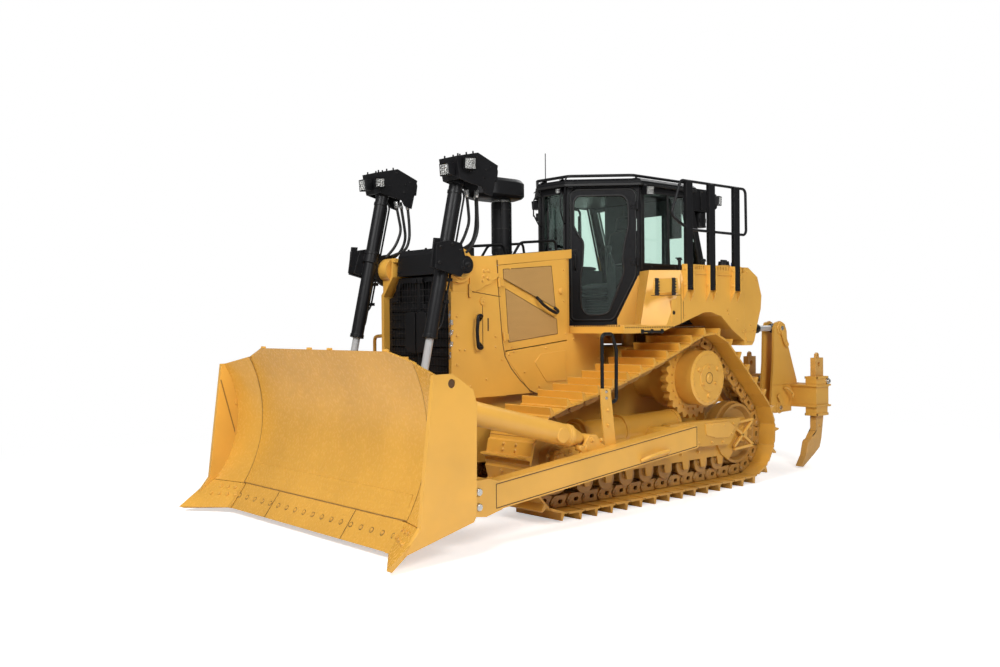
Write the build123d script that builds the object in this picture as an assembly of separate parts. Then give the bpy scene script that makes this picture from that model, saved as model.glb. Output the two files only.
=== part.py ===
from build123d import *
import math
import os

# Crawler tractor with a semi-U blade in front and a three-shank ripper behind.
# Millimetres. +X is forward, +Y is left, +Z is up. The origin lies on the ground, on the
# middle plane, under the middle of the overall length from blade tips to ripper pockets.

# ---- Driving dimensions -------------------------------------------------------------

# Undercarriage
TRACK_GAUGE = 1981.0
SHOE_WIDTH = 610.0
LINK_PITCH = 216.0
CHAIN_R = 425.0
SHOE_SEAT = 40.0
SHOE_FACE = 68.0
GROUSER_H = 70.0
RAIL_DEPTH = 72.0
RAIL_T = 42.0
RAIL_INNER = 62.0
TRACK_SAG = 55.0
SHOE_GAP = 8.0
FRONT_IDLER_X = 1350.0
REAR_IDLER_X = -1578.0
SPROCKET_X = -848.0
SPROCKET_Z = 1225.0
SPROCKET_TIP_R = 445.0
SPROCKET_ROOT_R = 404.0
SPROCKET_BORE_R = 300.0
SPROCKET_T = 78.0
SPROCKET_TEETH = 25
IDLER_CLEAR = 2.0
IDLER_FLANGE = 24.0
ROLLER_R = 96.0
ROLLER_COUNT = 8
DRIVE_COVER_R = 295.0
DRIVE_OUT_Y = 1252.0
DRIVE_FLANGE_R = 335.0
FRAME_BEAM_LOW = 430.0
FRAME_BEAM_H = 250.0
RECOIL_R = 145.0
RECOIL_Z = 750.0
RECOIL_REAR_X = -530.0
GUARD_LOW = 352.0
GUARD_IN_LOW = 250.0
ROLLER_GUARD_T = 16.0
PIVOT_X = 60.0
PIVOT_R = 85.0

# Tractor hull
CASE_HALF_W = 400.0
BELLY_Z = 470.0
CASE_REAR_X = -1760.0
CASE_TOP_Z = 1560.0
NOSE_X = 2020.0
GUARD_X = 2122.0
GUARD_HALF_W = 556.0
GUARD_LOW_Z = 1130.0
GUARD_TOP_Z = 2480.0
GUARD_T = 40.0
SEAM_TOP_X = 1568.0
SEAM_LOW_X = 1450.0
HOOD_HALF_W = 550.0
HINGE_OUT = 20.0
HOOD_REAR_X = 520.0
HOOD_REAR_Z = 2585.0
HOOD_T = 12.0
DOOR_FIT = 6.0
GRILLE_X = 2060.0
GRILLE_T = 30.0
GRILLE_HINGE_X = 2045.0
GRILLE_HINGE_Y = 478.0
GRILLE_SIDE_Y = 504.0
CORE_X = 1920.0
CORE_T = 90.0

# Cab
CAB_FRONT_X = 228.0
CAB_FRONT_HALF_W = 200.0
CAB_HALF_W = 770.0
CAB_POST_X = -298.0
CAB_FLOOR_Z = 1800.0
CAB_TOP_Z = 3290.0
CAB_REAR_TOP_X = -1195.0
CAB_REAR_LOW_X = -1500.0
CAB_WALL = 55.0
ROOF_H = 78.0
ROOF_EAVE = 45.0
ANTENNA_X = 200.0
ANTENNA_Y = -150.0
ANTENNA_TOP = 3700.0
GLASS_T = 8.0
CAB_DOOR_T = 45.0
DOOR_HINGE_OUT = 22.0
KNUCKLE_R = 18.0

# Fenders and tank
FENDER_Y = 1250.0
FENDER_TOP_Z = 2370.0
TANK_REAR_X = -1861.0
PLATFORM_Z = 1795.0
POST_HALF = 52.0
POST_T = 40.0
POST_LOW = 2165.0
RAIL_TOP_Z = 3300.0
POST_PLACES = (-488.0, -880.0, -1333.0)
SLOTS = 6

# Blade
MOLD_T = 32.0
BIT_STEP = 14.0
SEAM_Y = 1353.0
WING_Y = 1730.0
BLADE_TIP_X = 3718.0
END_PLATE_T = 40.0
EYE_R = 36.0
EYE_X = 3100.0
EYE_Z = 1374.0
ARM_Y = 1550.0
ARM_W = 150.0
ARM_H = 230.0
ARM_REAR_X = -157.0
ARM_PIVOT_X = -40.0
ARM_PIVOT_Z = 675.0
ARM_FRONT_X = 2529.0
ARM_FRONT_Z = 425.0
ARM_BOSS_R = 62.0
HAND_POST_Y = 1478.0
BRACE_Y = 1400.0
BRACE_R = 100.0

# Lift cylinders
LIFT_Y = 590.0
LIFT_PIVOT_X = 2040.0
LIFT_PIVOT_Z = 2370.0
LIFT_AXIS_X = 2246.0
LIFT_SLOPE = 0.226
LIFT_TOP_Z = 3160.0
LIFT_MOUTH_Z = 1711.0
LIFT_BORE_Z = 3040.0
LIFT_ROD_INSIDE = 440.0
LIFT_PIN_Z = 550.0
LIFT_BARREL_R = 62.0
LIFT_ROD_R = 36.0
TRUNNION_R = 50.0
LAMP_IN_Y = 500.0
LAMP_OUT_Y = 750.0
LAMP_T = 12.0

# Ripper
RIP_LINK_X = -2010.0
RIP_LINK_Z = 725.0
RIP_PIN_X = -3048.0
RIP_PIN_Z = 735.0
RIP_TOP_X = -3086.0
RIP_TOP_Z = 1740.0
RIP_LINK_Y = 450.0
RIP_LIFT_Y = 250.0
RIP_TOP_Y = 630.0
RIP_LIFT_X = -1950.0
RIP_LIFT_Z = 1450.0
RIP_ROD_X = -2750.0
RIP_ROD_Z = 780.0
RIP_ROD_R = 32.0
LINK_TUBE_Z = 640.0
RIP_BARREL_L = 620.0
RIP_PIN_R = 32.0
RIP_BEAM_FRONT = -3326.0
RIP_BEAM_REAR = -3617.0
RIP_BEAM_LOW = 737.0
RIP_BEAM_H = 284.0
RIP_BEAM_HALF = 1077.0
RIP_FLANGE = 40.0
RIP_REAR_X = -3718.0
SHANK_Y = 1000.0
SHANK_T = 76.0
SHANK_FRONT_X = -3382.0
SHANK_REAR_X = -3561.0
SHANK_TOP_Z = 1360.0
TIP_TOP_Z = 480.0
SHANK_HOLE_X = -3456.0
SHANK_HOLE_Z = 1276.0
SHANK_PIN_R = 30.0
POCKET_HALF = 77.0
POCKET_LOW = 640.0
POCKET_TOP = 1115.0
PIN_FIT = 0.05

# ---- Worked-out places --------------------------------------------------------------

TRACK_Y = TRACK_GAUGE / 2
IDLER_Z = CHAIN_R + SHOE_FACE + GROUSER_H
SHOE_OUT_Y = TRACK_Y + SHOE_WIDTH / 2
SHOE_IN_Y = TRACK_Y - SHOE_WIDTH / 2
RIP_SHIFT_X = RIP_LINK_X - RIP_PIN_X
RIP_SHIFT_Z = RIP_LINK_Z - RIP_PIN_Z


# ---- Shapes used by many pieces ------------------------------------------------------

def side_plate(outline, y0, y1):
    """Plate whose outline lies in X and Z, from y0 to y1."""
    face = make_face(Polyline(*[(x, y0, z) for x, z in outline], close=True))
    return extrude(face, amount=y1 - y0, dir=(0, 1, 0))


def plan_plate(outline, z0, z1):
    """Plate whose outline lies in X and Y, from z0 to z1."""
    face = make_face(Polyline(*[(x, y, z0) for x, y in outline], close=True))
    return extrude(face, amount=z1 - z0, dir=(0, 0, 1))


def front_plate(outline, x0, x1):
    """Plate whose outline lies in Y and Z, from x0 to x1."""
    face = make_face(Polyline(*[(x0, y, z) for y, z in outline], close=True))
    return extrude(face, amount=x1 - x0, dir=(1, 0, 0))


def block(x0, x1, y0, y1, z0, z1):
    """Rectangular block between two corners."""
    centre = ((x0 + x1) / 2, (y0 + y1) / 2, (z0 + z1) / 2)
    return Pos(*centre) * Box(abs(x1 - x0), abs(y1 - y0), abs(z1 - z0))


def drum(x, z, radius, y0, y1):
    """Cylinder across the machine."""
    return Pos(x, (y0 + y1) / 2, z) * Rot(90, 0, 0) * Cylinder(radius, abs(y1 - y0))


def bar(start, end, radius):
    """Round bar between two points."""
    way = Vector(*end) - Vector(*start)
    plane = Plane(origin=Vector(*start) + way / 2, z_dir=way.normalized())
    return plane * Cylinder(radius, way.length)


def beam(start, end, wide, high):
    """Rectangular bar between two points of one X-Z plane; wide is across the machine."""
    way = Vector(*end) - Vector(*start)
    plane = Plane(origin=Vector(*start) + way / 2, x_dir=(0, 1, 0), z_dir=way.normalized())
    return plane * Box(wide, high, way.length)


def pipe(points, radius, bend):
    """Bent pipe along corner points, with one bend radius."""
    path = FilletPolyline(*points, radius=bend) if len(points) > 2 else Line(*points)
    ring = Plane(origin=path @ 0, z_dir=path % 0) * Circle(radius)
    return sweep(ring, path)


def both(shape):
    """The shape with its mirror image on the other side."""
    return [shape, mirror(shape, Plane.XZ)]


def mirrored(shape):
    """The shape's mirror image on the other side."""
    return mirror(shape, Plane.XZ)


def save(name, shapes):
    """Write the solids of one piece."""
    solids = []
    for shape in shapes if isinstance(shapes, list) else [shapes]:
        solids.extend(shape.solids())
    export_step(Compound(children=solids), f"parts/{name}.step")


# ---- Track ---------------------------------------------------------------------------

def wrap(centre, first, last, steps=40):
    """Points round a wheel, by angle in degrees."""
    points = []
    for i in range(steps + 1):
        angle = math.radians(first + (last - first) * i / steps)
        points.append((centre[0] + CHAIN_R * math.cos(angle), centre[1] + CHAIN_R * math.sin(angle)))
    return points


def chain_path():
    """Closed line of the chain's pins: idler, top run with its sag, sprocket, idler."""
    front = (FRONT_IDLER_X, IDLER_Z)
    rear = (REAR_IDLER_X, IDLER_Z)
    top = (SPROCKET_X, SPROCKET_Z)
    lean_top = math.degrees(math.atan2(top[1] - front[1], top[0] - front[0])) - 90
    lean_rear = math.degrees(math.atan2(rear[1] - top[1], rear[0] - top[0])) + 270
    points = wrap(front, -90, lean_top)
    start = points[-1]
    after = wrap(top, lean_top, lean_rear)
    end = after[0]
    normal = (math.cos(math.radians(lean_top)), math.sin(math.radians(lean_top)))
    for i in range(1, 40):
        t = i / 40
        sag = 4 * TRACK_SAG * t * (1 - t)
        x = start[0] + (end[0] - start[0]) * t - normal[0] * sag
        z = start[1] + (end[1] - start[1]) * t - normal[1] * sag
        points.append((x, z))
    points += after
    points += wrap(rear, lean_rear, 270)
    return points + [points[0]]


def chain_pins():
    """Pin places, evenly spaced round the path, at the nearest whole number of links."""
    path = chain_path()
    lengths = [0.0]
    for a, b in zip(path, path[1:]):
        lengths.append(lengths[-1] + math.dist(a, b))
    count = round(lengths[-1] / LINK_PITCH)
    pins = []
    for i in range(count):
        want = lengths[-1] * i / count
        k = max(j for j in range(len(path) - 1) if lengths[j] <= want)
        t = (want - lengths[k]) / (lengths[k + 1] - lengths[k])
        x = path[k][0] + (path[k + 1][0] - path[k][0]) * t
        z = path[k][1] + (path[k + 1][1] - path[k][1]) * t
        pins.append((x, z))
    return pins


def link_frames(pins):
    """Start pin, forward and outward directions and length of every link."""
    frames = []
    for a, b in zip(pins, pins[1:] + pins[:1]):
        length = math.dist(a, b)
        ahead = ((b[0] - a[0]) / length, (b[1] - a[1]) / length)
        frames.append((a, ahead, (ahead[1], -ahead[0]), length))
    return frames


def on_link(frame, along, out):
    """Point given along a link and outward from its pins."""
    pin, ahead, outward, _ = frame
    return (pin[0] + ahead[0] * along + outward[0] * out, pin[1] + ahead[1] * along + outward[1] * out)


def offset_pins(pins, out):
    """Closed line at a distance outside the pins, with its corners on the pins' bisectors."""
    frames = link_frames(pins)
    points = []
    for i, pin in enumerate(pins):
        before = frames[i - 1][2]
        after = frames[i][2]
        spread = 1 + before[0] * after[0] + before[1] * after[1]
        way = ((before[0] + after[0]) / spread, (before[1] + after[1]) / spread)
        points.append((pin[0] + way[0] * out, pin[1] + way[1] * out))
    return points


def ring_plate(outer, inner, y0, y1):
    """Closed band between two outlines."""
    return side_plate(outer, y0, y1) - side_plate(inner, y0, y1)


def track():
    """One closed track: shoes with single grousers on two rails."""
    pins = chain_pins()
    shoes = []
    for frame in link_frames(pins):
        length = frame[3]
        outline = [
            (SHOE_GAP, SHOE_SEAT + 8),
            (SHOE_GAP, SHOE_FACE),
            (38, SHOE_FACE),
            (52, SHOE_FACE + GROUSER_H),
            (74, SHOE_FACE + GROUSER_H),
            (90, SHOE_FACE),
            (length - SHOE_GAP, SHOE_FACE),
            (length - SHOE_GAP, SHOE_SEAT + 8),
        ]
        shoes += [on_link(frame, u, v) for u, v in outline]
    seat = offset_pins(pins, SHOE_SEAT)
    foot = offset_pins(pins, -RAIL_DEPTH)
    loop = ring_plate(shoes, seat, SHOE_IN_Y, SHOE_OUT_Y)
    for side in (-1, 1):
        inner = TRACK_Y + side * RAIL_INNER
        outer = TRACK_Y + side * (RAIL_INNER + RAIL_T)
        loop += ring_plate(seat, foot, min(inner, outer), max(inner, outer))
    return loop


# ---- Undercarriage -------------------------------------------------------------------

def sprocket():
    """Toothed ring seated on the final drive's flange."""
    points = []
    for i in range(SPROCKET_TEETH):
        for share, radius in ((-0.42, SPROCKET_ROOT_R), (-0.16, SPROCKET_TIP_R), (0.16, SPROCKET_TIP_R),
                              (0.42, SPROCKET_ROOT_R)):
            angle = math.radians((i + share) * 360 / SPROCKET_TEETH)
            points.append((SPROCKET_X + radius * math.cos(angle), SPROCKET_Z + radius * math.sin(angle)))
    low = TRACK_Y - SPROCKET_T / 2
    high = TRACK_Y + SPROCKET_T / 2
    return side_plate(points, low, high) - drum(SPROCKET_X, SPROCKET_Z, SPROCKET_BORE_R, low, high)


def turned(x, z, profile):
    """Solid turned about an axis across the machine, from (radius, y) pairs."""
    face = make_face(Polyline(*[(x + r, y, z) for r, y in profile], close=True))
    return revolve(face, axis=Axis((x, 0, z), (0, 1, 0)))


def final_drive():
    """Stepped housing of the final drive, from the case out to its round cover."""
    seat = TRACK_Y - SPROCKET_T / 2
    profile = [
        (0, CASE_HALF_W),
        (250, CASE_HALF_W),
        (250, 660),
        (DRIVE_FLANGE_R, 700),
        (DRIVE_FLANGE_R, seat),
        (SPROCKET_BORE_R - 4, seat),
        (SPROCKET_BORE_R - 4, DRIVE_OUT_Y - 60),
        (DRIVE_COVER_R, DRIVE_OUT_Y - 50),
        (DRIVE_COVER_R, DRIVE_OUT_Y - 12),
        (DRIVE_COVER_R - 30, DRIVE_OUT_Y),
        (0, DRIVE_OUT_Y),
    ]
    return turned(SPROCKET_X, SPROCKET_Z, profile)


def idler(x):
    """Idler wheel: two treads, a centre flange between the rails, dished sides."""
    # The rails are straight between pins, so their middles lie closer in than their ends.
    dip = CHAIN_R - math.sqrt(CHAIN_R ** 2 - (LINK_PITCH / 2) ** 2)
    tread = CHAIN_R - dip - RAIL_DEPTH - IDLER_CLEAR
    half = RAIL_INNER + RAIL_T + 10
    profile = [
        (60, TRACK_Y - half - 20),
        (120, TRACK_Y - half - 20),
        (150, TRACK_Y - 60),
        (tread - 60, TRACK_Y - 60),
        (tread - 30, TRACK_Y - half),
        (tread, TRACK_Y - half),
        (tread, TRACK_Y - RAIL_INNER + 8),
        (tread + IDLER_FLANGE, TRACK_Y - RAIL_INNER + 14),
        (tread + IDLER_FLANGE, TRACK_Y + RAIL_INNER - 14),
        (tread, TRACK_Y + RAIL_INNER - 8),
        (tread, TRACK_Y + half),
        (tread - 30, TRACK_Y + half),
        (tread - 60, TRACK_Y + 60),
        (150, TRACK_Y + 60),
        (120, TRACK_Y + half + 20),
        (60, TRACK_Y + half + 20),
    ]
    return turned(x, IDLER_Z, profile)


def roller_places():
    """X of each bottom roller, evenly spaced between the idlers."""
    first = REAR_IDLER_X + 400
    step = (FRONT_IDLER_X - 400 - first) / (ROLLER_COUNT - 1)
    return [first + step * i for i in range(ROLLER_COUNT)]


def roller(x):
    """Bottom roller with its flanges outside the rails."""
    rail_top = IDLER_Z - CHAIN_R + RAIL_DEPTH
    wide = RAIL_INNER + RAIL_T
    z = rail_top + ROLLER_R + IDLER_CLEAR
    tread = drum(x, z, ROLLER_R, TRACK_Y - wide - 2, TRACK_Y + wide + 2)
    flange_in = drum(x, z, ROLLER_R + 18, TRACK_Y - wide - 26, TRACK_Y - wide - 2)
    flange_out = drum(x, z, ROLLER_R + 18, TRACK_Y + wide + 2, TRACK_Y + wide + 26)
    return tread + flange_in + flange_out


def track_frame():
    """Roller frame: box beam, recoil tube, idler forks, roller guards and roller pedestals."""
    rear_x = REAR_IDLER_X + 110
    front_x = FRONT_IDLER_X - 110
    low = FRAME_BEAM_LOW
    top = low + FRAME_BEAM_H
    half = RAIL_INNER + RAIL_T + 32
    fork_in = TRACK_Y - half - 30
    fork_out = TRACK_Y + half + 30
    body = side_plate([
        (rear_x + 260, low),
        (front_x - 260, low),
        (front_x - 260, top - 40),
        (PIVOT_X + 260, top),
        (PIVOT_X - 200, top + 40),
        (rear_x + 260, top),
    ], fork_in + 30, fork_out - 30)
    recoil_end = FRONT_IDLER_X - CHAIN_R + 60
    recoil = bar((RECOIL_REAR_X, TRACK_Y, RECOIL_Z), (recoil_end, TRACK_Y, RECOIL_Z - 30), RECOIL_R)
    for x in (RECOIL_REAR_X + 30, recoil_end - 60, 330):
        recoil += bar((x - 22, TRACK_Y, RECOIL_Z - 8), (x + 22, TRACK_Y, RECOIL_Z - 8), RECOIL_R + 14)
    frame = body + recoil
    # place of the idler, the way its fork reaches it
    for x, way in ((FRONT_IDLER_X, -1), (REAR_IDLER_X, 1)):
        fork = [
            (x - way * 70, IDLER_Z - 75),
            (x - way * 70, IDLER_Z + 75),
            (x + way * 90, IDLER_Z + 95),
            (x + way * 420, top - 20),
            (x + way * 420, low + 10),
            (x + way * 120, IDLER_Z - 95),
        ]
        for y0, y1 in ((fork_in, fork_in + 30), (fork_out - 30, fork_out)):
            frame += side_plate(fork, y0, y1)
    guard = [(rear_x + 200, low + 80), (rear_x + 200, GUARD_LOW), (front_x - 200, GUARD_LOW),
             (front_x - 200, low + 80)]
    for x in roller_places():
        for y0, y1 in ((fork_in, fork_in + ROLLER_GUARD_T), (fork_out - ROLLER_GUARD_T, fork_out)):
            frame += side_plate([(x - 58, GUARD_LOW + 1), (x - 34, 262), (x + 34, 262), (x + 58, GUARD_LOW + 1)], y0, y1)
    for y0, y1 in ((fork_in, fork_in + ROLLER_GUARD_T), (fork_out - ROLLER_GUARD_T, fork_out)):
        frame += side_plate(guard, y0, y1)
    # inner guard reaches lower than the outer one
    frame += side_plate([(rear_x + 240, low + 80), (rear_x + 240, 300), (rear_x + 290, GUARD_IN_LOW),
                         (front_x - 290, GUARD_IN_LOW), (front_x - 240, 300), (front_x - 240, low + 80)],
                        fork_in, fork_in + ROLLER_GUARD_T)
    # guard over the outer side of the rear idler
    frame += side_plate([(-1030, 770), (-1600, 752), (-1672, 700), (-1672, 620), (-1299, 294), (-1168, 377),
                         (-1100, 480)], fork_out - 1, fork_out + 22)
    # boss that carries the push arm, out past the track
    frame += drum(ARM_PIVOT_X, ARM_PIVOT_Z, 96, fork_out - 60, ARM_Y - ARM_W / 2 - 6)
    frame += drum(ARM_PIVOT_X, ARM_PIVOT_Z, ARM_BOSS_R, ARM_Y - ARM_W / 2 - 6, ARM_Y + ARM_W / 2 - 12)
    # flat outer panels between the arm's end and the rear idler
    frame += side_plate([(-190, 560), (-190, 770), (-686, 770), (-1443, 755), (-1330, 600), (-1221, 479), (-712, 500)],
                        fork_out, FENDER_Y)
    # bearing of the cross shaft, on the inner side
    frame += drum(PIVOT_X, 620, PIVOT_R + 70, fork_in - 90, fork_in + 40)
    for x in (FRONT_IDLER_X, REAR_IDLER_X):
        frame += drum(x, IDLER_Z, 59, fork_in, fork_out)
    return frame


# ---- Hull ----------------------------------------------------------------------------

def main_frame():
    """Case and main frame: belly, engine rails, transmission case and ripper mount."""
    rear = side_plate([
        (CASE_REAR_X, BELLY_Z + 60),
        (-300, BELLY_Z),
        (-300, 1180),
        (-500, CASE_TOP_Z),
        (CASE_REAR_X, CASE_TOP_Z),
    ], -CASE_HALF_W, CASE_HALF_W)
    front = side_plate([
        (-300, BELLY_Z),
        (NOSE_X - 350, BELLY_Z + 20),
        (NOSE_X, BELLY_Z + 190),
        (NOSE_X, GUARD_LOW_Z - 10),
        (-300, GUARD_LOW_Z - 10),
    ], -CASE_HALF_W, CASE_HALF_W)
    hull = rear + front
    bearing = TRACK_Y - RAIL_INNER - RAIL_T - 152
    hull += drum(PIVOT_X, 620, PIVOT_R, -bearing, bearing)
    fork = TRACK_Y - RAIL_INNER - RAIL_T - 62
    hull += block(1040, 1180, -fork, fork, 560, 680)
    for x in (-640, -1380):
        for y in (-300, 300):
            hull += Pos(x, y, (CASE_TOP_Z + CAB_FLOOR_Z) / 2) * Cylinder(70, CAB_FLOOR_Z - CASE_TOP_Z)
    for y in (-340, 340):
        hull += block(-60, 160, y - 40, y + 40, GUARD_LOW_Z - 11, CAB_FLOOR_Z)
    return hull


def guard_outline(inset):
    """Front view of the radiator guard, drawn in by an even amount."""
    side = GUARD_HALF_W - inset
    top = GUARD_TOP_Z - inset
    return [
        (-side, GUARD_LOW_Z + inset),
        (side, GUARD_LOW_Z + inset),
        (side, 2120 - inset / 3),
        (375 - inset / 2, 2310 - inset / 3),
        (375 - inset / 2, top),
        (-375 + inset / 2, top),
        (-375 + inset / 2, 2310 - inset / 3),
        (-side, 2120 - inset / 3),
    ]


def radiator_guard():
    """Guard round the radiator: walls on all sides, open to the front and the rear."""
    shell = front_plate(guard_outline(0), SEAM_LOW_X, GUARD_X)
    shell -= front_plate(guard_outline(GUARD_T), SEAM_LOW_X, GUARD_X)
    # the rear edge of the guard leans forward to the top and runs back along the bottom
    shell -= side_plate([
        (SEAM_LOW_X, 1500),
        (SEAM_LOW_X + 57, 2080),
        (SEAM_TOP_X, GUARD_TOP_Z),
        (SEAM_LOW_X, GUARD_TOP_Z),
    ], -GUARD_HALF_W, GUARD_HALF_W)
    guard = shell
    bores = []
    low_side = [
        (GUARD_X, GUARD_LOW_Z),
        (GUARD_X, GUARD_LOW_Z + 60),
        (SEAM_LOW_X, 1500),
        (1120, 1137),
    ]
    for side in (-1, 1):
        y = side * GUARD_HALF_W
        guard += side_plate(low_side, min(y, y - side * GUARD_T), max(y, y - side * GUARD_T))
        boss_end = side * (LIFT_Y + 40)
        guard += drum(LIFT_PIVOT_X, LIFT_PIVOT_Z, 120, side * 420, boss_end)
        bores.append(drum(LIFT_PIVOT_X, LIFT_PIVOT_Z, TRUNNION_R + PIN_FIT, side * (LIFT_Y - 40), boss_end))
        cheek = side_plate([
            (LIFT_PIVOT_X + 60, 2050),
            (LIFT_PIVOT_X + 60, LIFT_PIVOT_Z),
            (LIFT_PIVOT_X - 60, GUARD_TOP_Z - 20),
            (SEAM_TOP_X + 2, GUARD_TOP_Z - 4),
            (SEAM_LOW_X + 59, 2082),
            (SEAM_LOW_X + 90, 2040),
        ], *sorted((side * 375, side * (GUARD_HALF_W - 1))))
        guard += cheek - front_plate(guard_outline(GUARD_T), SEAM_LOW_X, GUARD_X)
    for bore in bores:
        guard -= bore
    # the dark top cover takes the middle of the guard's top
    return guard - block(1640, GUARD_X, -327, 327, 2298, GUARD_TOP_Z)


def radiator_core():
    """Radiator core across the guard, behind the grille."""
    core = front_plate(guard_outline(GUARD_T), CORE_X, CORE_X + CORE_T)
    return core - block(CORE_X, CORE_X + CORE_T, -GUARD_HALF_W, GUARD_HALF_W, 2290, GUARD_TOP_Z)


def grille_leaf(side):
    """One leaf of the grille: a frame with level louvres, hinged at the guard's side."""
    gap = 4.0
    side_in = GRILLE_SIDE_Y
    leaf = front_plate([
        (gap, GUARD_LOW_Z + GUARD_T + gap),
        (side_in, GUARD_LOW_Z + GUARD_T + gap),
        (side_in, 2085),
        (396, 2108),
        (392, 2150),
        (380, 2205),
        (332, 2281),
        (gap, 2281),
    ], GRILLE_X - GRILLE_T, GRILLE_X)
    window = front_plate([
        (45, GUARD_LOW_Z + GUARD_T + 50),
        (side_in - 45, GUARD_LOW_Z + GUARD_T + 50),
        (side_in - 45, 2040),
        (352, 2060),
        (346, 2150),
        (300, 2235),
        (45, 2235),
    ], GRILLE_X - GRILLE_T, GRILLE_X)
    bars = leaf - window
    rows = 10
    low = GUARD_LOW_Z + GUARD_T + 50
    for i in range(1, rows):
        z = low + (2075 - low) * i / rows
        bars += block(GRILLE_X - GRILLE_T, GRILLE_X, 30, side_in - 30, z - 34, z + 34)
    # hinge knuckles down the outer edge
    for z in (1300, 1640, 1980):
        bars += Pos(GRILLE_HINGE_X, GRILLE_HINGE_Y, z) * Cylinder(16, 90)
    return bars if side > 0 else mirrored(bars)


def guard_cover():
    """Plain dark cover over the grille, between the lift cylinders."""
    return side_plate([
        (GUARD_X - 60, 2300),
        (GUARD_X - 30, 2300),
        (GUARD_X - 50, 2500),
        (GUARD_X - 90, 2552),
        (1642, 2565),
        (1642, 2300),
    ], -325, 325)


def hood_line(drop):
    """Front and rear ends of the hood's top line, lowered by an amount."""
    return [(SEAM_TOP_X, GUARD_TOP_Z - drop), (HOOD_REAR_X, HOOD_REAR_Z - drop)]


def hood():
    """Hood over the engine: sloped top with rolled edges and a rear bulkhead."""
    half = HOOD_HALF_W
    top = [
        (SEAM_TOP_X - 2, GUARD_TOP_Z),
        (HOOD_REAR_X, HOOD_REAR_Z),
        (HOOD_REAR_X, HOOD_REAR_Z - 90),
        (SEAM_TOP_X - 18, GUARD_TOP_Z - 90),
    ]
    roof = side_plate(top, -half, half)
    roof -= side_plate([
        (SEAM_TOP_X + 1, GUARD_TOP_Z - HOOD_T * 2),
        (HOOD_REAR_X - 1, HOOD_REAR_Z - HOOD_T * 2),
        (HOOD_REAR_X - 1, HOOD_REAR_Z - 91),
        (SEAM_TOP_X + 1, GUARD_TOP_Z - 91),
    ], -half + HOOD_T, half - HOOD_T)
    rear = block(HOOD_REAR_X, HOOD_REAR_X + 70, -half + 41, half - 41, GUARD_LOW_Z - 10, HOOD_REAR_Z - 20)
    return roof + rear


def engine_door(side):
    """Engine side door: a frame with two openings parted by a slanted strut."""
    y1 = HOOD_HALF_W
    y0 = y1 - 24
    lean = (SEAM_TOP_X - SEAM_LOW_X) / (GUARD_TOP_Z - 1500)
    top = GUARD_TOP_Z - 95
    front_low = SEAM_LOW_X - DOOR_FIT + lean * (1565 - 1500)
    outline = [
        (front_low, 1565),
        (SEAM_LOW_X + 57 - DOOR_FIT, 2080),
        (SEAM_TOP_X - 14 - DOOR_FIT, top),
        (HOOD_REAR_X + 70 + DOOR_FIT, HOOD_REAR_Z - 99),
        (HOOD_REAR_X + 70 + DOOR_FIT, 1655),
    ]
    door = side_plate(outline, y0, y1)
    upper = [(1471, 2345), (1020, 2385), (790, 2266), (765, 2000), (1453, 2175)]
    lower = [(1400, 1650), (1425, 2080), (760, 1880), (745, 1715)]
    for opening in (upper, lower):
        door -= side_plate(opening, y0, y1)
        door += side_plate(opening, y0 + 4, y0 + 10)
    # hinge knuckles on the slanted front seam
    for z in (1700, 2220):
        low = (SEAM_LOW_X + 2 + lean * (z - 40 - 1500), y1 + HINGE_OUT, z - 40)
        high = (SEAM_LOW_X + 2 + lean * (z + 40 - 1500), y1 + HINGE_OUT, z + 40)
        door += bar(low, high, 12)
        door += side_plate([(low[0] - 60, z - 30), (low[0], z - 30), (high[0], z + 30), (high[0] - 60, z + 30)],
                           y1 + HINGE_OUT - 10, y1 + HINGE_OUT - 2)
        door += side_plate([(low[0] - 60, z - 30), (low[0] - 12, z - 30), (high[0] - 12, z + 30),
                            (high[0] - 60, z + 30)], y1 - 1, y1 + HINGE_OUT - 9)
    return door if side > 0 else mirrored(door)


def lower_panel(side):
    """Panel below the engine door and the platform, down to the chassis."""
    y1 = HOOD_HALF_W
    panel = side_plate([
        (1442, 1500),
        (1442, 1555),
        (HOOD_REAR_X + 76, 1645),
        (HOOD_REAR_X + 76, PLATFORM_Z - 75),
        (60, PLATFORM_Z - 75),
        (60, GUARD_LOW_Z + 5),
        (1102, GUARD_LOW_Z + 5),
    ], y1 - 40, y1)
    return panel if side > 0 else mirrored(panel)


def engine_block():
    """Engine as one plain block at its real place and size."""
    return block(640, 1440, -330, 330, GUARD_LOW_Z + 10, 2150)


def air_stack():
    """Air intake pipe with its round pre-cleaner."""
    x = 992
    pipe_body = Pos(x, 0, 2800) * Cylinder(103, 620)
    pipe_body -= side_plate(hood_line(0) + [(HOOD_REAR_X, 2300), (SEAM_TOP_X, 2300)], -200, 200)
    head = Pos(x, 0, 3115) * Cylinder(150, 40)
    bowl = Pos(x, 0, 3210) * Cylinder(235, 150)
    dome = Pos(x, 0, 3310) * Cone(235, 120, 50)
    return pipe_body + head + bowl + dome


# ---- Cab -----------------------------------------------------------------------------

def cab_plan(inset):
    """Plan of the cab, drawn in by an even wall."""
    corner = inset * 0.4142
    return [
        (CAB_FRONT_X - inset, -CAB_FRONT_HALF_W + corner),
        (CAB_FRONT_X - inset, CAB_FRONT_HALF_W - corner),
        (CAB_POST_X - corner, CAB_HALF_W - inset),
        (CAB_REAR_LOW_X, CAB_HALF_W - inset),
        (CAB_REAR_LOW_X, -CAB_HALF_W + inset),
        (CAB_POST_X - corner, -CAB_HALF_W + inset),
    ]


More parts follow.
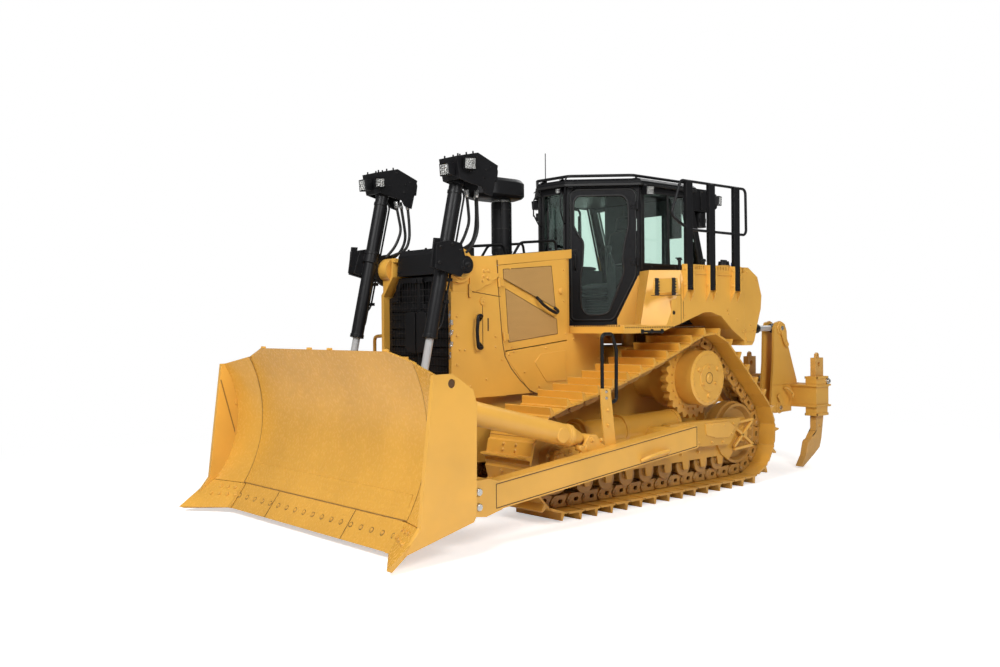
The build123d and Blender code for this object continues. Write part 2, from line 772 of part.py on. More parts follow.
def cab_side(inset):
    """Side view of the cab, whose rear wall leans forward to the top."""
    return [
        (CAB_FRONT_X + 10, CAB_FLOOR_Z + inset),
        (CAB_REAR_LOW_X + inset, CAB_FLOOR_Z + inset),
        (CAB_REAR_LOW_X + inset, 2300),
        (CAB_REAR_TOP_X + inset, CAB_TOP_Z - inset),
        (CAB_FRONT_X + 10, CAB_TOP_Z - inset),
    ]


DOOR_WAY = Vector(CAB_POST_X - CAB_FRONT_X, CAB_HALF_W - CAB_FRONT_HALF_W, 0).normalized()
DOOR_OUT = Vector(DOOR_WAY.Y, -DOOR_WAY.X, 0)
DOOR_LENGTH = math.hypot(CAB_POST_X - CAB_FRONT_X, CAB_HALF_W - CAB_FRONT_HALF_W)


def door_slab(outline, depth0, depth1):
    """Plate in the slanted door plane; outline is (distance from front post, height)."""
    origin = Vector(CAB_FRONT_X, CAB_FRONT_HALF_W, 0)
    points = []
    for s, z in outline:
        p = origin + DOOR_WAY * s + DOOR_OUT * depth0
        points.append((p.X, p.Y, z))
    face = make_face(Polyline(*points, close=True))
    return extrude(face, amount=depth1 - depth0, dir=tuple(DOOR_OUT))


def door_outline(inset):
    """Door seen square on: its rear lower corner is cut away."""
    low = CAB_FLOOR_Z + 45 + inset
    high = CAB_TOP_Z - 24 - inset
    front = 34 + inset
    rear = DOOR_LENGTH - 32 - inset
    return [
        (front, low + 30),
        (front + 30, low),
        (470 - inset * 0.6, low),
        (515 - inset * 0.6, low + 30),
        (rear, 2330 + inset * 0.4),
        (rear, high - 50),
        (rear - 50, high),
        (front + 50, high),
        (front, high - 50),
    ]


# door pane: distance from the front post, height
DOOR_WINDOW = [
    (72, 2870),
    (72, 3130),
    (115, 3192),
    (600, 3192),
    (655, 3125),
    (660, 2862),
    (622, 2710),
    (592, 2504),
    (610, 2372),
    (444, 1935),
    (362, 1910),
    (200, 1910),
    (145, 2000),
    (140, 2312),
    (163, 2428),
    (178, 2700),
    (110, 2790),
]

SIDE_WINDOW = [(-365, 2455), (-365, 3235), (-1130, 3235), (-1350, 2455)]


def cab_shell():
    """Cab walls and posts, hollow, with its windows and doorways cut."""
    outer = plan_plate(cab_plan(0), CAB_FLOOR_Z, CAB_TOP_Z)
    outer &= side_plate(cab_side(0), -CAB_HALF_W, CAB_HALF_W)
    inner = plan_plate(cab_plan(CAB_WALL), CAB_FLOOR_Z, CAB_TOP_Z)
    inner &= side_plate(cab_side(CAB_WALL), -CAB_HALF_W, CAB_HALF_W)
    shell = outer - inner
    way = door_slab(door_outline(-DOOR_FIT), -120, 60)
    shell -= way
    shell -= mirrored(way)
    shell -= side_plate(SIDE_WINDOW, -CAB_HALF_W - 1, CAB_HALF_W + 1)
    front = [(-160, 2420), (160, 2420), (160, 3225), (-160, 3225)]
    shell -= front_plate(front, CAB_FRONT_X - 80, CAB_FRONT_X + 20)
    rear = [(-640, 2420), (640, 2420), (640, 3190), (-640, 3190)]
    shell -= front_plate(rear, CAB_REAR_LOW_X, CAB_REAR_TOP_X + CAB_WALL + 10)
    return shell


def cab_glass():
    """Fixed panes: windscreen, side windows and rear window."""
    panes = [
        block(CAB_FRONT_X - 30, CAB_FRONT_X - 30 + GLASS_T, -159, 159, 2421, 3224),
    ]
    side = side_plate([(-366, 2456), (-366, 3234), (-1129, 3234), (-1349, 2456)],
                      CAB_HALF_W - 30, CAB_HALF_W - 30 + GLASS_T)
    panes += both(side)
    lean = (CAB_REAR_TOP_X - CAB_REAR_LOW_X) / (CAB_TOP_Z - CAB_WALL - 2300)
    x0 = CAB_REAR_LOW_X + 28 + lean * 122
    x1 = CAB_REAR_LOW_X + 28 + lean * 888
    panes.append(side_plate([(x0, 2422), (x1, 3188), (x1 + 10, 3188), (x0 + 10, 2422)], -638, 638))
    return panes


def cab_door_frame():
    """Left cab door's frame with its two hinge knuckles."""
    slab = door_slab(door_outline(0), -CAB_DOOR_T + 4, 4)
    slab -= door_slab(DOOR_WINDOW, -CAB_DOOR_T - 10, 20)
    hinge = Vector(CAB_FRONT_X, CAB_FRONT_HALF_W, 0) + DOOR_WAY * (DOOR_LENGTH - DOOR_HINGE_OUT)
    hinge += DOOR_OUT * DOOR_HINGE_OUT
    for z in (2480, 3080):
        slab += Pos(hinge.X, hinge.Y, z) * Cylinder(KNUCKLE_R, 90)
        slab += door_slab([(DOOR_LENGTH - 90, z - 35), (DOOR_LENGTH - DOOR_HINGE_OUT, z - 35),
                           (DOOR_LENGTH - DOOR_HINGE_OUT, z + 35), (DOOR_LENGTH - 90, z + 35)], 3, 14)
    return slab


def cab_door_pane():
    """Left cab door's pane, held in its frame."""
    return door_slab(DOOR_WINDOW, -30, -30 + GLASS_T)


def cab_roof():
    """Roof with its eave all round."""
    plan = [
        (CAB_FRONT_X + ROOF_EAVE, -CAB_FRONT_HALF_W - 20),
        (CAB_FRONT_X + ROOF_EAVE, CAB_FRONT_HALF_W + 20),
        (CAB_POST_X + 20, CAB_HALF_W + ROOF_EAVE),
        (CAB_REAR_TOP_X - ROOF_EAVE, CAB_HALF_W + ROOF_EAVE),
        (CAB_REAR_TOP_X - ROOF_EAVE, -CAB_HALF_W - ROOF_EAVE),
        (CAB_POST_X + 20, -CAB_HALF_W - ROOF_EAVE),
    ]
    roof = plan_plate(plan, CAB_TOP_Z, CAB_TOP_Z + ROOF_H)
    return chamfer(roof.edges().group_by(Axis.Z)[-1], 30)


def roof_rail():
    """Rail round the roof with its short feet."""
    z = CAB_TOP_Z + ROOF_H + 32
    points = [
        (CAB_REAR_TOP_X, -735, z),
        (CAB_FRONT_X - 470, -735, z),
        (CAB_FRONT_X + 10, -240, z),
        (CAB_FRONT_X + 10, 240, z),
        (CAB_FRONT_X - 470, 735, z),
        (CAB_REAR_TOP_X, 735, z),
    ]
    rail = pipe(points, 16, 90)
    for x, y in ((CAB_REAR_TOP_X + 30, 735), (CAB_FRONT_X - 520, 735), (CAB_FRONT_X + 10, 150)):
        for side in (-1, 1):
            rail += Pos(x, side * y, z - 16) * Cylinder(12, 32)
    return rail


def antenna():
    """Whip aerial with its foot on the front of the roof."""
    base = CAB_TOP_Z + ROOF_H
    foot = Pos(ANTENNA_X, ANTENNA_Y, base + 20) * Cylinder(18, 40)
    return foot + Pos(ANTENNA_X, ANTENNA_Y, (base + ANTENNA_TOP) / 2) * Cylinder(5, ANTENNA_TOP - base)


def seat():
    """Operator's seat: cushion, back and pedestal."""
    base = block(-870, -430, -230, 230, CAB_FLOOR_Z + CAB_WALL, CAB_FLOOR_Z + 330)
    cushion = block(-900, -380, -260, 260, CAB_FLOOR_Z + 330, CAB_FLOOR_Z + 450)
    back = side_plate([(-900, CAB_FLOOR_Z + 450), (-790, CAB_FLOOR_Z + 450), (-900, CAB_FLOOR_Z + 1130),
                       (-1000, CAB_FLOOR_Z + 1130)], -240, 240)
    return base + cushion + back


def consoles():
    """Arm-rest consoles each side of the seat and the dash in front."""
    arm = block(-850, -330, 275, 400, CAB_FLOOR_Z + CAB_WALL, CAB_FLOOR_Z + 640)
    dash = block(20, 150, -140, 140, CAB_FLOOR_Z + CAB_WALL, CAB_FLOOR_Z + 700)
    return both(arm) + [dash]


def climate_box():
    """Dark air-conditioning box on the rear of the cab, left side."""
    box = side_plate([(-1600, 3095), (-1600, 3350), (-1250, 3350), (-1250, 3285), (-1200, 3285), (-1200, 3095)], 420, 740)
    box += block(-1565, -1440, 560, 700, 2925, 3096)
    return box - side_plate(cab_side(0), -CAB_HALF_W, CAB_HALF_W)


# ---- Fenders, tank and rails ----------------------------------------------------------

def fender(posts):
    """Left fender: steel box over the track, with its arch, door recess and post brackets."""
    body = side_plate([
        (160, PLATFORM_Z),
        (160, FENDER_TOP_Z),
        (-1521, FENDER_TOP_Z),
        (-1521, 1612),
        (-1284, 1742),
        (-1090, 1887),
        (-901, 1933),
        (-778, 1928),
        (-354, 1804),
        (-110, 1741),
        (160, 1741),
    ], CAB_HALF_W + 6, FENDER_Y)
    # the front leans back: an inner wall beside the open door, and a latch panel outside it
    low = [(-205, 760), (112, 1121), (-166, 1262), (400, 1262), (400, 760)]
    high = [(-300, 760), (-143, 1028), (-497, 1262), (400, 1262), (400, 760)]
    space = loft([make_face(Polyline(*[(x, y, PLATFORM_Z + 1) for x, y in low], close=True)),
                  make_face(Polyline(*[(x, y, FENDER_TOP_Z + 1) for x, y in high], close=True))], ruled=True)
    body -= space
    step = side_plate([(HOOD_REAR_X, PLATFORM_Z - 75), (HOOD_REAR_X, PLATFORM_Z), (159, PLATFORM_Z),
                       (159, PLATFORM_Z - 75)], 460, FENDER_Y)
    wall = block(posts[-1] - 66, posts[0] + 66, FENDER_Y - 14, FENDER_Y, FENDER_TOP_Z - 1, 2436)
    for a, b in zip(posts, posts[1:]):
        for k in range(SLOTS):
            x = a - 100 - (a - b - 200) * k / (SLOTS - 1)
            wall -= block(x - 10, x + 10, FENDER_Y - 20, FENDER_Y + 1, 2385, 2425)
    body += step + wall
    for x in posts:
        for side in (-1, 1):
            cheek = front_plate([(FENDER_Y - 14, 2436), (FENDER_Y + 52, 2430), (FENDER_Y + 52, 2150),
                                 (FENDER_Y, 2040), (FENDER_Y - 14, 2040)],
                                *sorted((x + side * (POST_HALF + 3), x + side * (POST_HALF + 13))))
            body += cheek
    return body


def tank():
    """Fuel tank across the rear, between and behind the fenders."""
    outline = [
        (-1521, CASE_TOP_Z),
        (-1521, 2432),
        (-1600, 2432),
        (-1780, 2330),
        (TANK_REAR_X, 2120),
        (-1846, 1975),
        (-1700, 1590),
        (-1670, CASE_TOP_Z),
    ]
    return side_plate(outline, -FENDER_Y, FENDER_Y)


def handrail(posts, hoop):
    """Left handrail on its posts, with a hooped front end where there is room for one."""
    y = FENDER_Y + 2 + POST_T / 2
    front, rear = posts[0], posts[-1]
    path = [(front, y, 2800), (front + 290, y, 2925), (front + 120, y, RAIL_TOP_Z)] if hoop else \
        [(front, y, 2800), (front, y, RAIL_TOP_Z)]
    path += [(rear - 190, y, RAIL_TOP_Z), (rear - 200, y, 2790), (front, y, 2795)]
    rail = pipe(path, 15, 60)
    for x in posts:
        rail += block(x - POST_HALF, x + POST_HALF, y - POST_T / 2, y + POST_T / 2, POST_LOW, RAIL_TOP_Z)
    return rail


# ---- Blade ---------------------------------------------------------------------------

def mold_face(y, top, middle, low):
    """Closed section of the moldboard at one place across the machine."""
    front = ThreePointArc(*[(x, y, z) for x, z in (top, middle, low)])
    back = ThreePointArc((low[0] - MOLD_T, y, low[1] - 12), (middle[0] - MOLD_T, y, middle[1]),
                         (top[0] - MOLD_T, y, top[1] - 4))
    return make_face([front, Line(front @ 1, back @ 0), back, Line(back @ 1, front @ 0)])


def moldboard():
    """Moldboard: curved centre, two swept wings, box stiffeners and ribs behind."""
    section = mold_face(-SEAM_Y, (3199, 1611), (3021, 1026), (3232, 276))
    centre = extrude(section, amount=2 * SEAM_Y, dir=(0, 1, 0))
    # the top edge falls away towards each seam
    for side in (-1, 1):
        centre -= front_plate([(side * 1039, 1700), (side * 1039, 1611), (side * SEAM_Y, 1524),
                               (side * SEAM_Y, 1700)], 3000, 3300)
    root = mold_face(SEAM_Y, (3160, 1522), (3021, 1010), (3232, 276))
    end = mold_face(WING_Y, (3240, 1444), (3098, 940), (3357, 285))
    wing = loft([root, end], ruled=True)
    board = centre + wing + mirrored(wing)
    # section of each stiffener, and its half width
    for outline, half in (
        ([(3150, 1560), (3065, 1440), (2960, 1440), (2960, 1560)], 1030),
        ([(3000, 1100), (3000, 860), (2880, 880), (2880, 1080)], WING_Y),
        ([(3130, 470), (3215, 282), (2960, 250), (2900, 300), (2900, 470)], 1300),
    ):
        board += side_plate(outline, -half, half)
    for y in (0, 380, 760, 1200):
        for side in {y, -y}:
            board += side_plate([(3075, 1450), (3000, 1250), (3000, 800), (3130, 400),
                                 (2905, 400), (2905, 1000), (2980, 1450)], side - 12, side + 12)
    return board


def end_plates():
    """Blade end plates with the lifting eye near the top."""
    outline = [
        (3085, 1447),
        (3272, 1444),
        (3410, 310),
        (3560, 125),
        (2890, 285),
        (2862, 330),
        (2850, 1200),
        (2884, 1315),
    ]
    plate = side_plate(outline, WING_Y, WING_Y + END_PLATE_T)
    plate -= drum(EYE_X, EYE_Z, EYE_R, WING_Y - 1, WING_Y + END_PLATE_T + 1)
    return both(plate)


def cutting_edge():
    """Bolt-on cutting edge in three sections and the two flared end bits."""
    section = [(3395, 55), (3232, 276), (3232 - MOLD_T, 264), (3358, 46)]
    pieces = []
    for y0, y1 in ((-1300, -640), (-639, 639), (640, 1300)):
        pieces.append(side_plate(section, y0, y1))
    thick = [(3395 + BIT_STEP, 55), (3232 + BIT_STEP, 276), (3232 - MOLD_T, 264), (3358, 46)]
    inner = make_face(Polyline(*[(x, SEAM_Y, z) for x, z in thick], close=True))
    outer = make_face(Polyline((BLADE_TIP_X, 1767, 48), (3369 + BIT_STEP, 1767, 285),
                               (3369 - MOLD_T, 1767, 273), (3670, 1767, 28), close=True))
    bit = side_plate(thick, 1301, SEAM_Y) + loft([inner, outer], ruled=True)
    return pieces + both(bit - end_plates()[0])


def push_arm():
    """Left push arm: box section from the trunnion to the blade, with its brace lug and hand post."""
    slope = (ARM_FRONT_Z - ARM_PIVOT_Z) / (ARM_FRONT_X - ARM_PIVOT_X)
    rear_z = ARM_PIVOT_Z + slope * (ARM_REAR_X - ARM_PIVOT_X)
    arm = beam((ARM_REAR_X, ARM_Y, rear_z), (ARM_FRONT_X, ARM_Y, ARM_FRONT_Z), ARM_W, ARM_H)
    arm -= drum(ARM_PIVOT_X, ARM_PIVOT_Z, ARM_BOSS_R + PIN_FIT, ARM_Y - ARM_W / 2 - 1, ARM_Y + ARM_W / 2 - 10)
    for y0, y1 in ((ARM_Y - 75, ARM_Y - 35), (ARM_Y + 35, ARM_Y + 75)):
        arm += side_plate([(2460, 310), (2460, 535), (2600, 575), (2849, 575), (2849, 300), (2640, 270)], y0, y1)
    lug = side_plate([(1000, 660), (1130, 720), (1200, 810), (1290, 810), (1430, 620)], ARM_Y - 75, ARM_Y - 45)
    post = side_plate([(912, 640), (1067, 640), (1112, 1058), (1122, 1221), (990, 1214)], HAND_POST_Y, HAND_POST_Y + 16)
    return arm + lug + post


def arm_handle():
    """Dark hand loop bolted to the inner side of the left arm's post."""
    y = HAND_POST_Y - 20
    loop = pipe([(1049, y, 1083), (871, y, 1087), (866, y, 1568), (925, y, 1722), (1064, y, 1722), (1064, y, 1150)],
                17, 45)
    return loop + block(1010, 1080, y - 17, HAND_POST_Y, 1060, 1210)


def brace(side):
    """Tilt cylinder on one side, or the plain brace on the other, from arm to blade."""
    low = (1250, BRACE_Y, 754)
    high = (2870, BRACE_Y, 1165)
    way = Vector(*high) - Vector(*low)
    body = bar(Vector(*low) + way * 0.13, Vector(*low) + way * 0.92, BRACE_R)
    rod = bar(low, high, 38)
    eye = drum(low[0], low[2], 60, BRACE_Y - 40, ARM_Y - 76)
    return body + rod + eye if side > 0 else mirrored(body + rod + eye)


def lift_line(z):
    """Point on the left lift cylinder's axis at a height."""
    return (LIFT_AXIS_X + LIFT_SLOPE * (LIFT_PIVOT_Z - z), LIFT_Y, z)


def lift_barrel():
    """Barrel of the left lift cylinder with the yoke that swings on the guard."""
    barrel = bar(lift_line(LIFT_TOP_Z), lift_line(LIFT_MOUTH_Z), LIFT_BARREL_R)
    barrel += bar(lift_line(2540), lift_line(2440), LIFT_BARREL_R + 12)
    yoke = side_plate([
        (2392, 2557),
        (2414, 2328),
        (2119, 2257),
        (2059, 2330),
        (2059, 2420),
        (2103, 2561),
        (2226, 2585),
    ], LIFT_Y + 70, LIFT_Y + 110)
    yoke += drum(LIFT_PIVOT_X, LIFT_PIVOT_Z, 82, LIFT_Y + 44, LIFT_Y + 96)
    clamp = side_plate([(2330, 2560), (2400, 2340), (2200, 2290), (2165, 2500)], LIFT_Y + 30, LIFT_Y + 70)
    pin = drum(LIFT_PIVOT_X, LIFT_PIVOT_Z, TRUNNION_R, LIFT_Y - 30, LIFT_Y + 71)
    bore = bar(lift_line(LIFT_BORE_Z), lift_line(LIFT_MOUTH_Z - 1), LIFT_ROD_R + PIN_FIT)
    return barrel + yoke + clamp + pin - bore


def lift_rod():
    """Rod of the left lift cylinder with its eye at the blade."""
    inside = lift_line(LIFT_MOUTH_Z + LIFT_ROD_INSIDE)
    rod = bar(inside, lift_line(LIFT_PIN_Z), LIFT_ROD_R)
    x = lift_line(LIFT_PIN_Z)[0]
    return rod + drum(x, LIFT_PIN_Z, 70, LIFT_Y - 45, LIFT_Y + 45)


def lift_bracket():
    """Blade lugs that take the lift rod's eye."""
    x = lift_line(LIFT_PIN_Z)[0]
    lugs = None
    for y0, y1 in ((LIFT_Y - 90, LIFT_Y - 52), (LIFT_Y + 52, LIFT_Y + 90)):
        plate = side_plate([(x - 70, LIFT_PIN_Z - 70), (x - 70, LIFT_PIN_Z + 70), (2910, 800), (2910, 330)], y0, y1)
        lugs = plate if lugs is None else lugs + plate
    return lugs


def lamp_box():
    """Lamp housing on the head of the left lift cylinder: two cheeks, a top and a slanted front."""
    side = [
        (2205, 3340),
        (1945, 3398),
        (1700, 3302),
        (1775, 3008),
        (1862, 3030),
        (1896, 3086),
        (2060, 3116),
        (2160, 3140),
    ]
    box = side_plate(side, LAMP_IN_Y, LAMP_OUT_Y)
    t = LAMP_T
    hollow = side_plate([
        (2193, 3340 - t),
        (1945, 3398 - t),
        (1650, 3282 - t),
        (1650, 2900),
        (2100, 2900),
        (2148, 3140),
    ], LAMP_IN_Y + t, LAMP_OUT_Y - t)
    foot = bar(lift_line(LIFT_TOP_Z + 1), lift_line(3300), LIFT_BARREL_R - 10) & side_plate(side, LAMP_IN_Y, LAMP_OUT_Y)
    return box - hollow + foot


# ---- Ripper --------------------------------------------------------------------------

def ripper_mount():
    """Bracket bolted to the rear of the case: lugs and pins for the links and cylinders."""
    rear = CASE_REAR_X - 30
    mount = block(rear, CASE_REAR_X, -480, 480, 600, 1500)
    for y in (-RIP_LINK_Y, RIP_LINK_Y):
        for y0, y1 in ((y - 62, y - 37), (y + 37, y + 62)):
            mount += side_plate([(CASE_REAR_X - 1, 600), (CASE_REAR_X - 1, 900), (RIP_LINK_X - 70, RIP_LINK_Z + 60),
                                 (RIP_LINK_X - 70, RIP_LINK_Z - 60)], y0, y1)
        mount += block(CASE_REAR_X - 30, CASE_REAR_X, y - 62, y + 62, 600, 900)
        mount += drum(RIP_LINK_X, RIP_LINK_Z, RIP_PIN_R, y - 62, y + 62)
    for y in (-RIP_LIFT_Y, RIP_LIFT_Y):
        for y0, y1 in ((y - 92, y - 70), (y + 70, y + 92)):
            mount += side_plate([(CASE_REAR_X - 1, 1280), (CASE_REAR_X - 1, 1500), (RIP_LIFT_X - 60, RIP_LIFT_Z + 60),
                                 (RIP_LIFT_X - 60, RIP_LIFT_Z - 40)], y0, y1)
        mount += drum(RIP_LIFT_X, RIP_LIFT_Z, RIP_PIN_R, y - 92, y + 92)
    top_x = RIP_TOP_X + RIP_SHIFT_X
    top_z = RIP_TOP_Z + RIP_SHIFT_Z
    for y in (-RIP_TOP_Y, RIP_TOP_Y):
        for y0, y1 in ((y - 78, y - 54), (y + 54, y + 78)):
            mount += side_plate([(CASE_REAR_X - 1, 1310), (CASE_REAR_X - 1, 1540), (top_x - 55, top_z + 55),
                                 (top_x - 75, top_z - 40)], y0, y1)
        mount += drum(top_x, top_z, RIP_PIN_R, y - 78, y + 78)
        mount += block(CASE_REAR_X - 30, CASE_REAR_X, y - 78, y + 78, 1310, 1500)
    mount += block(CASE_REAR_X - 30, CASE_REAR_X, -RIP_TOP_Y, RIP_TOP_Y, 1310, 1500)
    return mount


def ripper_link():
    """Lower link of the ripper: two side arms joined by a cross tube with cylinder lugs."""
    arm = beam((RIP_LINK_X, RIP_LINK_Y, RIP_LINK_Z), (RIP_PIN_X, RIP_LINK_Y, RIP_PIN_Z), 60, 130)
    for x, z in ((RIP_LINK_X, RIP_LINK_Z), (RIP_PIN_X, RIP_PIN_Z)):
        arm += drum(x, z, 80, RIP_LINK_Y - 30, RIP_LINK_Y + 30)
        arm -= drum(x, z, RIP_PIN_R + PIN_FIT, RIP_LINK_Y - 31, RIP_LINK_Y + 31)
    cross = drum(RIP_ROD_X, LINK_TUBE_Z, 55, -RIP_LINK_Y, RIP_LINK_Y)
    link = arm + mirrored(arm) + cross
    for y in (-RIP_LIFT_Y, RIP_LIFT_Y):
        for y0, y1 in ((y - 72, y - 52), (y + 52, y + 72)):
            link += side_plate([(RIP_ROD_X - 50, LINK_TUBE_Z), (RIP_ROD_X - 40, RIP_ROD_Z + 50),
                                (RIP_ROD_X + 40, RIP_ROD_Z + 50), (RIP_ROD_X + 50, LINK_TUBE_Z)], y0, y1)
    return link


def rip_cylinder(y):
    """Ends and direction of one ripper lift cylinder."""
    head = Vector(RIP_LIFT_X, y, RIP_LIFT_Z)
    foot = Vector(RIP_ROD_X, y, RIP_ROD_Z)
    return head, foot, (foot - head).normalized()


def ripper_lift_barrels():
    """Barrels of the two ripper lift cylinders."""
    pieces = []
    for y in (-RIP_LIFT_Y, RIP_LIFT_Y):
        head, foot, way = rip_cylinder(y)
        barrel = bar(head, head + way * RIP_BARREL_L, 66)
        barrel += drum(RIP_LIFT_X, RIP_LIFT_Z, 62, y - 44, y + 44)
        barrel -= drum(RIP_LIFT_X, RIP_LIFT_Z, RIP_PIN_R + PIN_FIT, y - 67, y + 67)
        barrel -= bar(head + way * 70, head + way * (RIP_BARREL_L + 1), RIP_ROD_R + PIN_FIT)
        pieces.append(barrel)
    return pieces


def ripper_lift_rods():
    """Rods of the two ripper lift cylinders."""
    pieces = []
    for y in (-RIP_LIFT_Y, RIP_LIFT_Y):
        head, foot, way = rip_cylinder(y)
        rod = bar(head + way * (RIP_BARREL_L - 285), foot, RIP_ROD_R)
        pieces.append(rod + drum(RIP_ROD_X, RIP_ROD_Z, 50, y - 42, y + 42))
    return pieces


def ripper_frame():
    """Ripper beam with its flanges, two towers, three shank pockets and a push block."""
    low = RIP_BEAM_LOW
    high = RIP_BEAM_LOW + RIP_BEAM_H
    frame = block(RIP_BEAM_REAR, RIP_BEAM_FRONT, -RIP_BEAM_HALF, RIP_BEAM_HALF, low, high)
    for z in (low, high - 22):
        frame += block(RIP_BEAM_REAR - RIP_FLANGE, RIP_BEAM_FRONT + RIP_FLANGE / 2,
                       -RIP_BEAM_HALF - 14, RIP_BEAM_HALF + 14, z, z + 22)
    frame += block(RIP_REAR_X, RIP_BEAM_REAR, -110, 110, low + 30, high - 30)
    for y in (-SHANK_Y, 0, SHANK_Y):
        frame += block(RIP_BEAM_REAR + 22, RIP_BEAM_FRONT - 4, y - POCKET_HALF, y + POCKET_HALF, POCKET_LOW, POCKET_TOP)
        frame -= block(SHANK_REAR_X - 3, SHANK_FRONT_X + 3, y - SHANK_T / 2 - 3, y + SHANK_T / 2 + 3,
                       POCKET_LOW - 10, POCKET_TOP + 10)
    tower = [
        (-2957, 671),
        (-2872, 709),
        (-2874, 882),
        (-2925, 1300),
        (-2942, 1740),
        (-2990, 1810),
        (-3085, 1830),
        (-3185, 1790),
        (-3230, 1700),
        (-3240, 1567),
        (-3460, 1060),
        (-3460, 1002),
        (RIP_BEAM_FRONT - 1, 1002),
        (RIP_BEAM_FRONT - 1, 679),
    ]
    for side in (-1, 1):
        for offset_y in (-90, 60):
            y = side * RIP_TOP_Y + (offset_y if side > 0 else -offset_y - 30)
            frame += side_plate(tower, y, y + 30)
        inner = side * (RIP_LINK_Y - 60)
        frame += side_plate([(RIP_PIN_X + 75, 660), (RIP_PIN_X + 75, 820), (RIP_BEAM_FRONT + 1, 1000),
                             (RIP_BEAM_FRONT + 1, 760), (RIP_PIN_X - 70, 660)], inner - 12, inner + 12)
        frame += drum(RIP_PIN_X, RIP_PIN_Z, RIP_PIN_R, *sorted((inner, side * (RIP_TOP_Y + 90))))
        frame += drum(RIP_TOP_X, RIP_TOP_Z, RIP_PIN_R, *sorted((side * (RIP_TOP_Y - 90), side * (RIP_TOP_Y + 90))))
    return frame


def shanks():
    """Three ripper shanks, each with its replaceable tip as a solid of its own."""
    pieces = []
    for y in (-SHANK_Y, 0, SHANK_Y):
        outline = [
            (SHANK_FRONT_X, TIP_TOP_Z),
            (-3368, 420),
            (-3270, 362),
            (-3180, 298),
            (-3137, 150),
            (-3028, 24),
            (-3076, 14),
            (-3340, 152),
            (-3465, 228),
            (-3508, 334),
            (-3535, TIP_TOP_Z),
        ]
        pieces.append(side_plate(outline, y - SHANK_T / 2, y + SHANK_T / 2))
        shank = side_plate([
            (SHANK_FRONT_X, SHANK_TOP_Z),
            (SHANK_FRONT_X, TIP_TOP_Z),
            (-3535, TIP_TOP_Z),
            (-3552, 573),
            (SHANK_REAR_X, 640),
            (SHANK_REAR_X, SHANK_TOP_Z),
        ], y - SHANK_T / 2, y + SHANK_T / 2)
        shank += side_plate([(-3500, SHANK_TOP_Z - 1), (-3495, 1405), (-3465, 1425), (-3435, 1405),
                             (-3430, SHANK_TOP_Z - 1)], y - 16, y + 16)
        shank -= drum(-3465, 1392, 14, y - 20, y + 20)
        shank -= drum(SHANK_HOLE_X, SHANK_HOLE_Z, SHANK_PIN_R, y - SHANK_T, y + SHANK_T)
        pieces.append(shank)
    return pieces


def ripper_tilt():
    """Upper ripper cylinders, which hold the frame upright as the links swing."""
    pieces = []
    for side in (-1, 1):
        y = side * RIP_TOP_Y
        front = (RIP_TOP_X + RIP_SHIFT_X, y, RIP_TOP_Z + RIP_SHIFT_Z)
        rear = (RIP_TOP_X, y, RIP_TOP_Z)
        way = Vector(*rear) - Vector(*front)
        ram = bar(front, Vector(*front) + way * 0.62, 50) + bar(front, rear, 35)
        for x, z in ((front[0], front[2]), (rear[0], rear[2])):
            ram += drum(x, z, 58, y - 45, y + 45)
            ram -= drum(x, z, RIP_PIN_R + PIN_FIT, y - 70, y + 70)
        pieces.append(ram)
    return pieces


# ---- Write the pieces ---------------------------------------------------------------

os.makedirs("parts", exist_ok=True)

left_track = track()
idlers = [idler(FRONT_IDLER_X), idler(REAR_IDLER_X)]
rollers = [roller(x) for x in roller_places()]
board = moldboard() + lift_bracket() + mirrored(lift_bracket())

save("track_left", left_track)
save("track_right", mirrored(left_track))
save("sprockets", both(sprocket()))
save("final_drives", both(final_drive()))
save("idlers", idlers + [mirrored(wheel) for wheel in idlers])
save("rollers", rollers + [mirrored(wheel) for wheel in rollers])
save("track_frames", both(track_frame()))
save("main_frame", main_frame())
save("radiator_guard", radiator_guard())
save("radiator_core", radiator_core())
save("grille_leaf_left", grille_leaf(1))
save("grille_leaf_right", grille_leaf(-1))
save("guard_top_cover", guard_cover())
save("hood", hood())
save("engine_door_left", engine_door(1))
save("engine_door_right", engine_door(-1))
save("lower_panels", [lower_panel(1), lower_panel(-1)])
save("engine_block", engine_block())
save("air_stack", air_stack())
save("cab_shell", cab_shell())
save("cab_glass", cab_glass())
save("cab_door_left", cab_door_frame())
save("cab_door_right", mirrored(cab_door_frame()))
save("cab_door_pane_left", cab_door_pane())
save("cab_door_pane_right", mirrored(cab_door_pane()))
save("cab_roof", cab_roof())
save("antenna", antenna())
save("roof_rail", roof_rail())
save("operator_seat", seat())
save("consoles", consoles())
save("climate_box", climate_box())
save("fenders", fender(POST_PLACES) + mirrored(fender(POST_PLACES[1:])))
save("fuel_tank", tank())
save("handrails", handrail(POST_PLACES, True) + mirrored(handrail(POST_PLACES[1:], False)))
save("moldboard", board)
save("blade_end_plates", end_plates())
save("cutting_edge", cutting_edge())
save("arm_handles", both(arm_handle()))
save("push_arms", both(push_arm()))
save("blade_braces", [brace(1), brace(-1)])
save("lift_barrel_left", lift_barrel())
save("lift_barrel_right", mirrored(lift_barrel()))
save("lift_rod_left", lift_rod())
save("lift_rod_right", mirrored(lift_rod()))
save("lamp_box_left", lamp_box())
save("lamp_box_right", mirrored(lamp_box()))
save("ripper_link", ripper_link())
save("ripper_frame", ripper_frame())
save("ripper_shanks", shanks())
save("ripper_tilt_cylinders", ripper_tilt())
save("ripper_mount", ripper_mount())
save("ripper_lift_barrels", ripper_lift_barrels())
save("ripper_lift_rods", ripper_lift_rods())
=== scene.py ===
import math

import bmesh
import bpy
from mathutils import Matrix, Vector


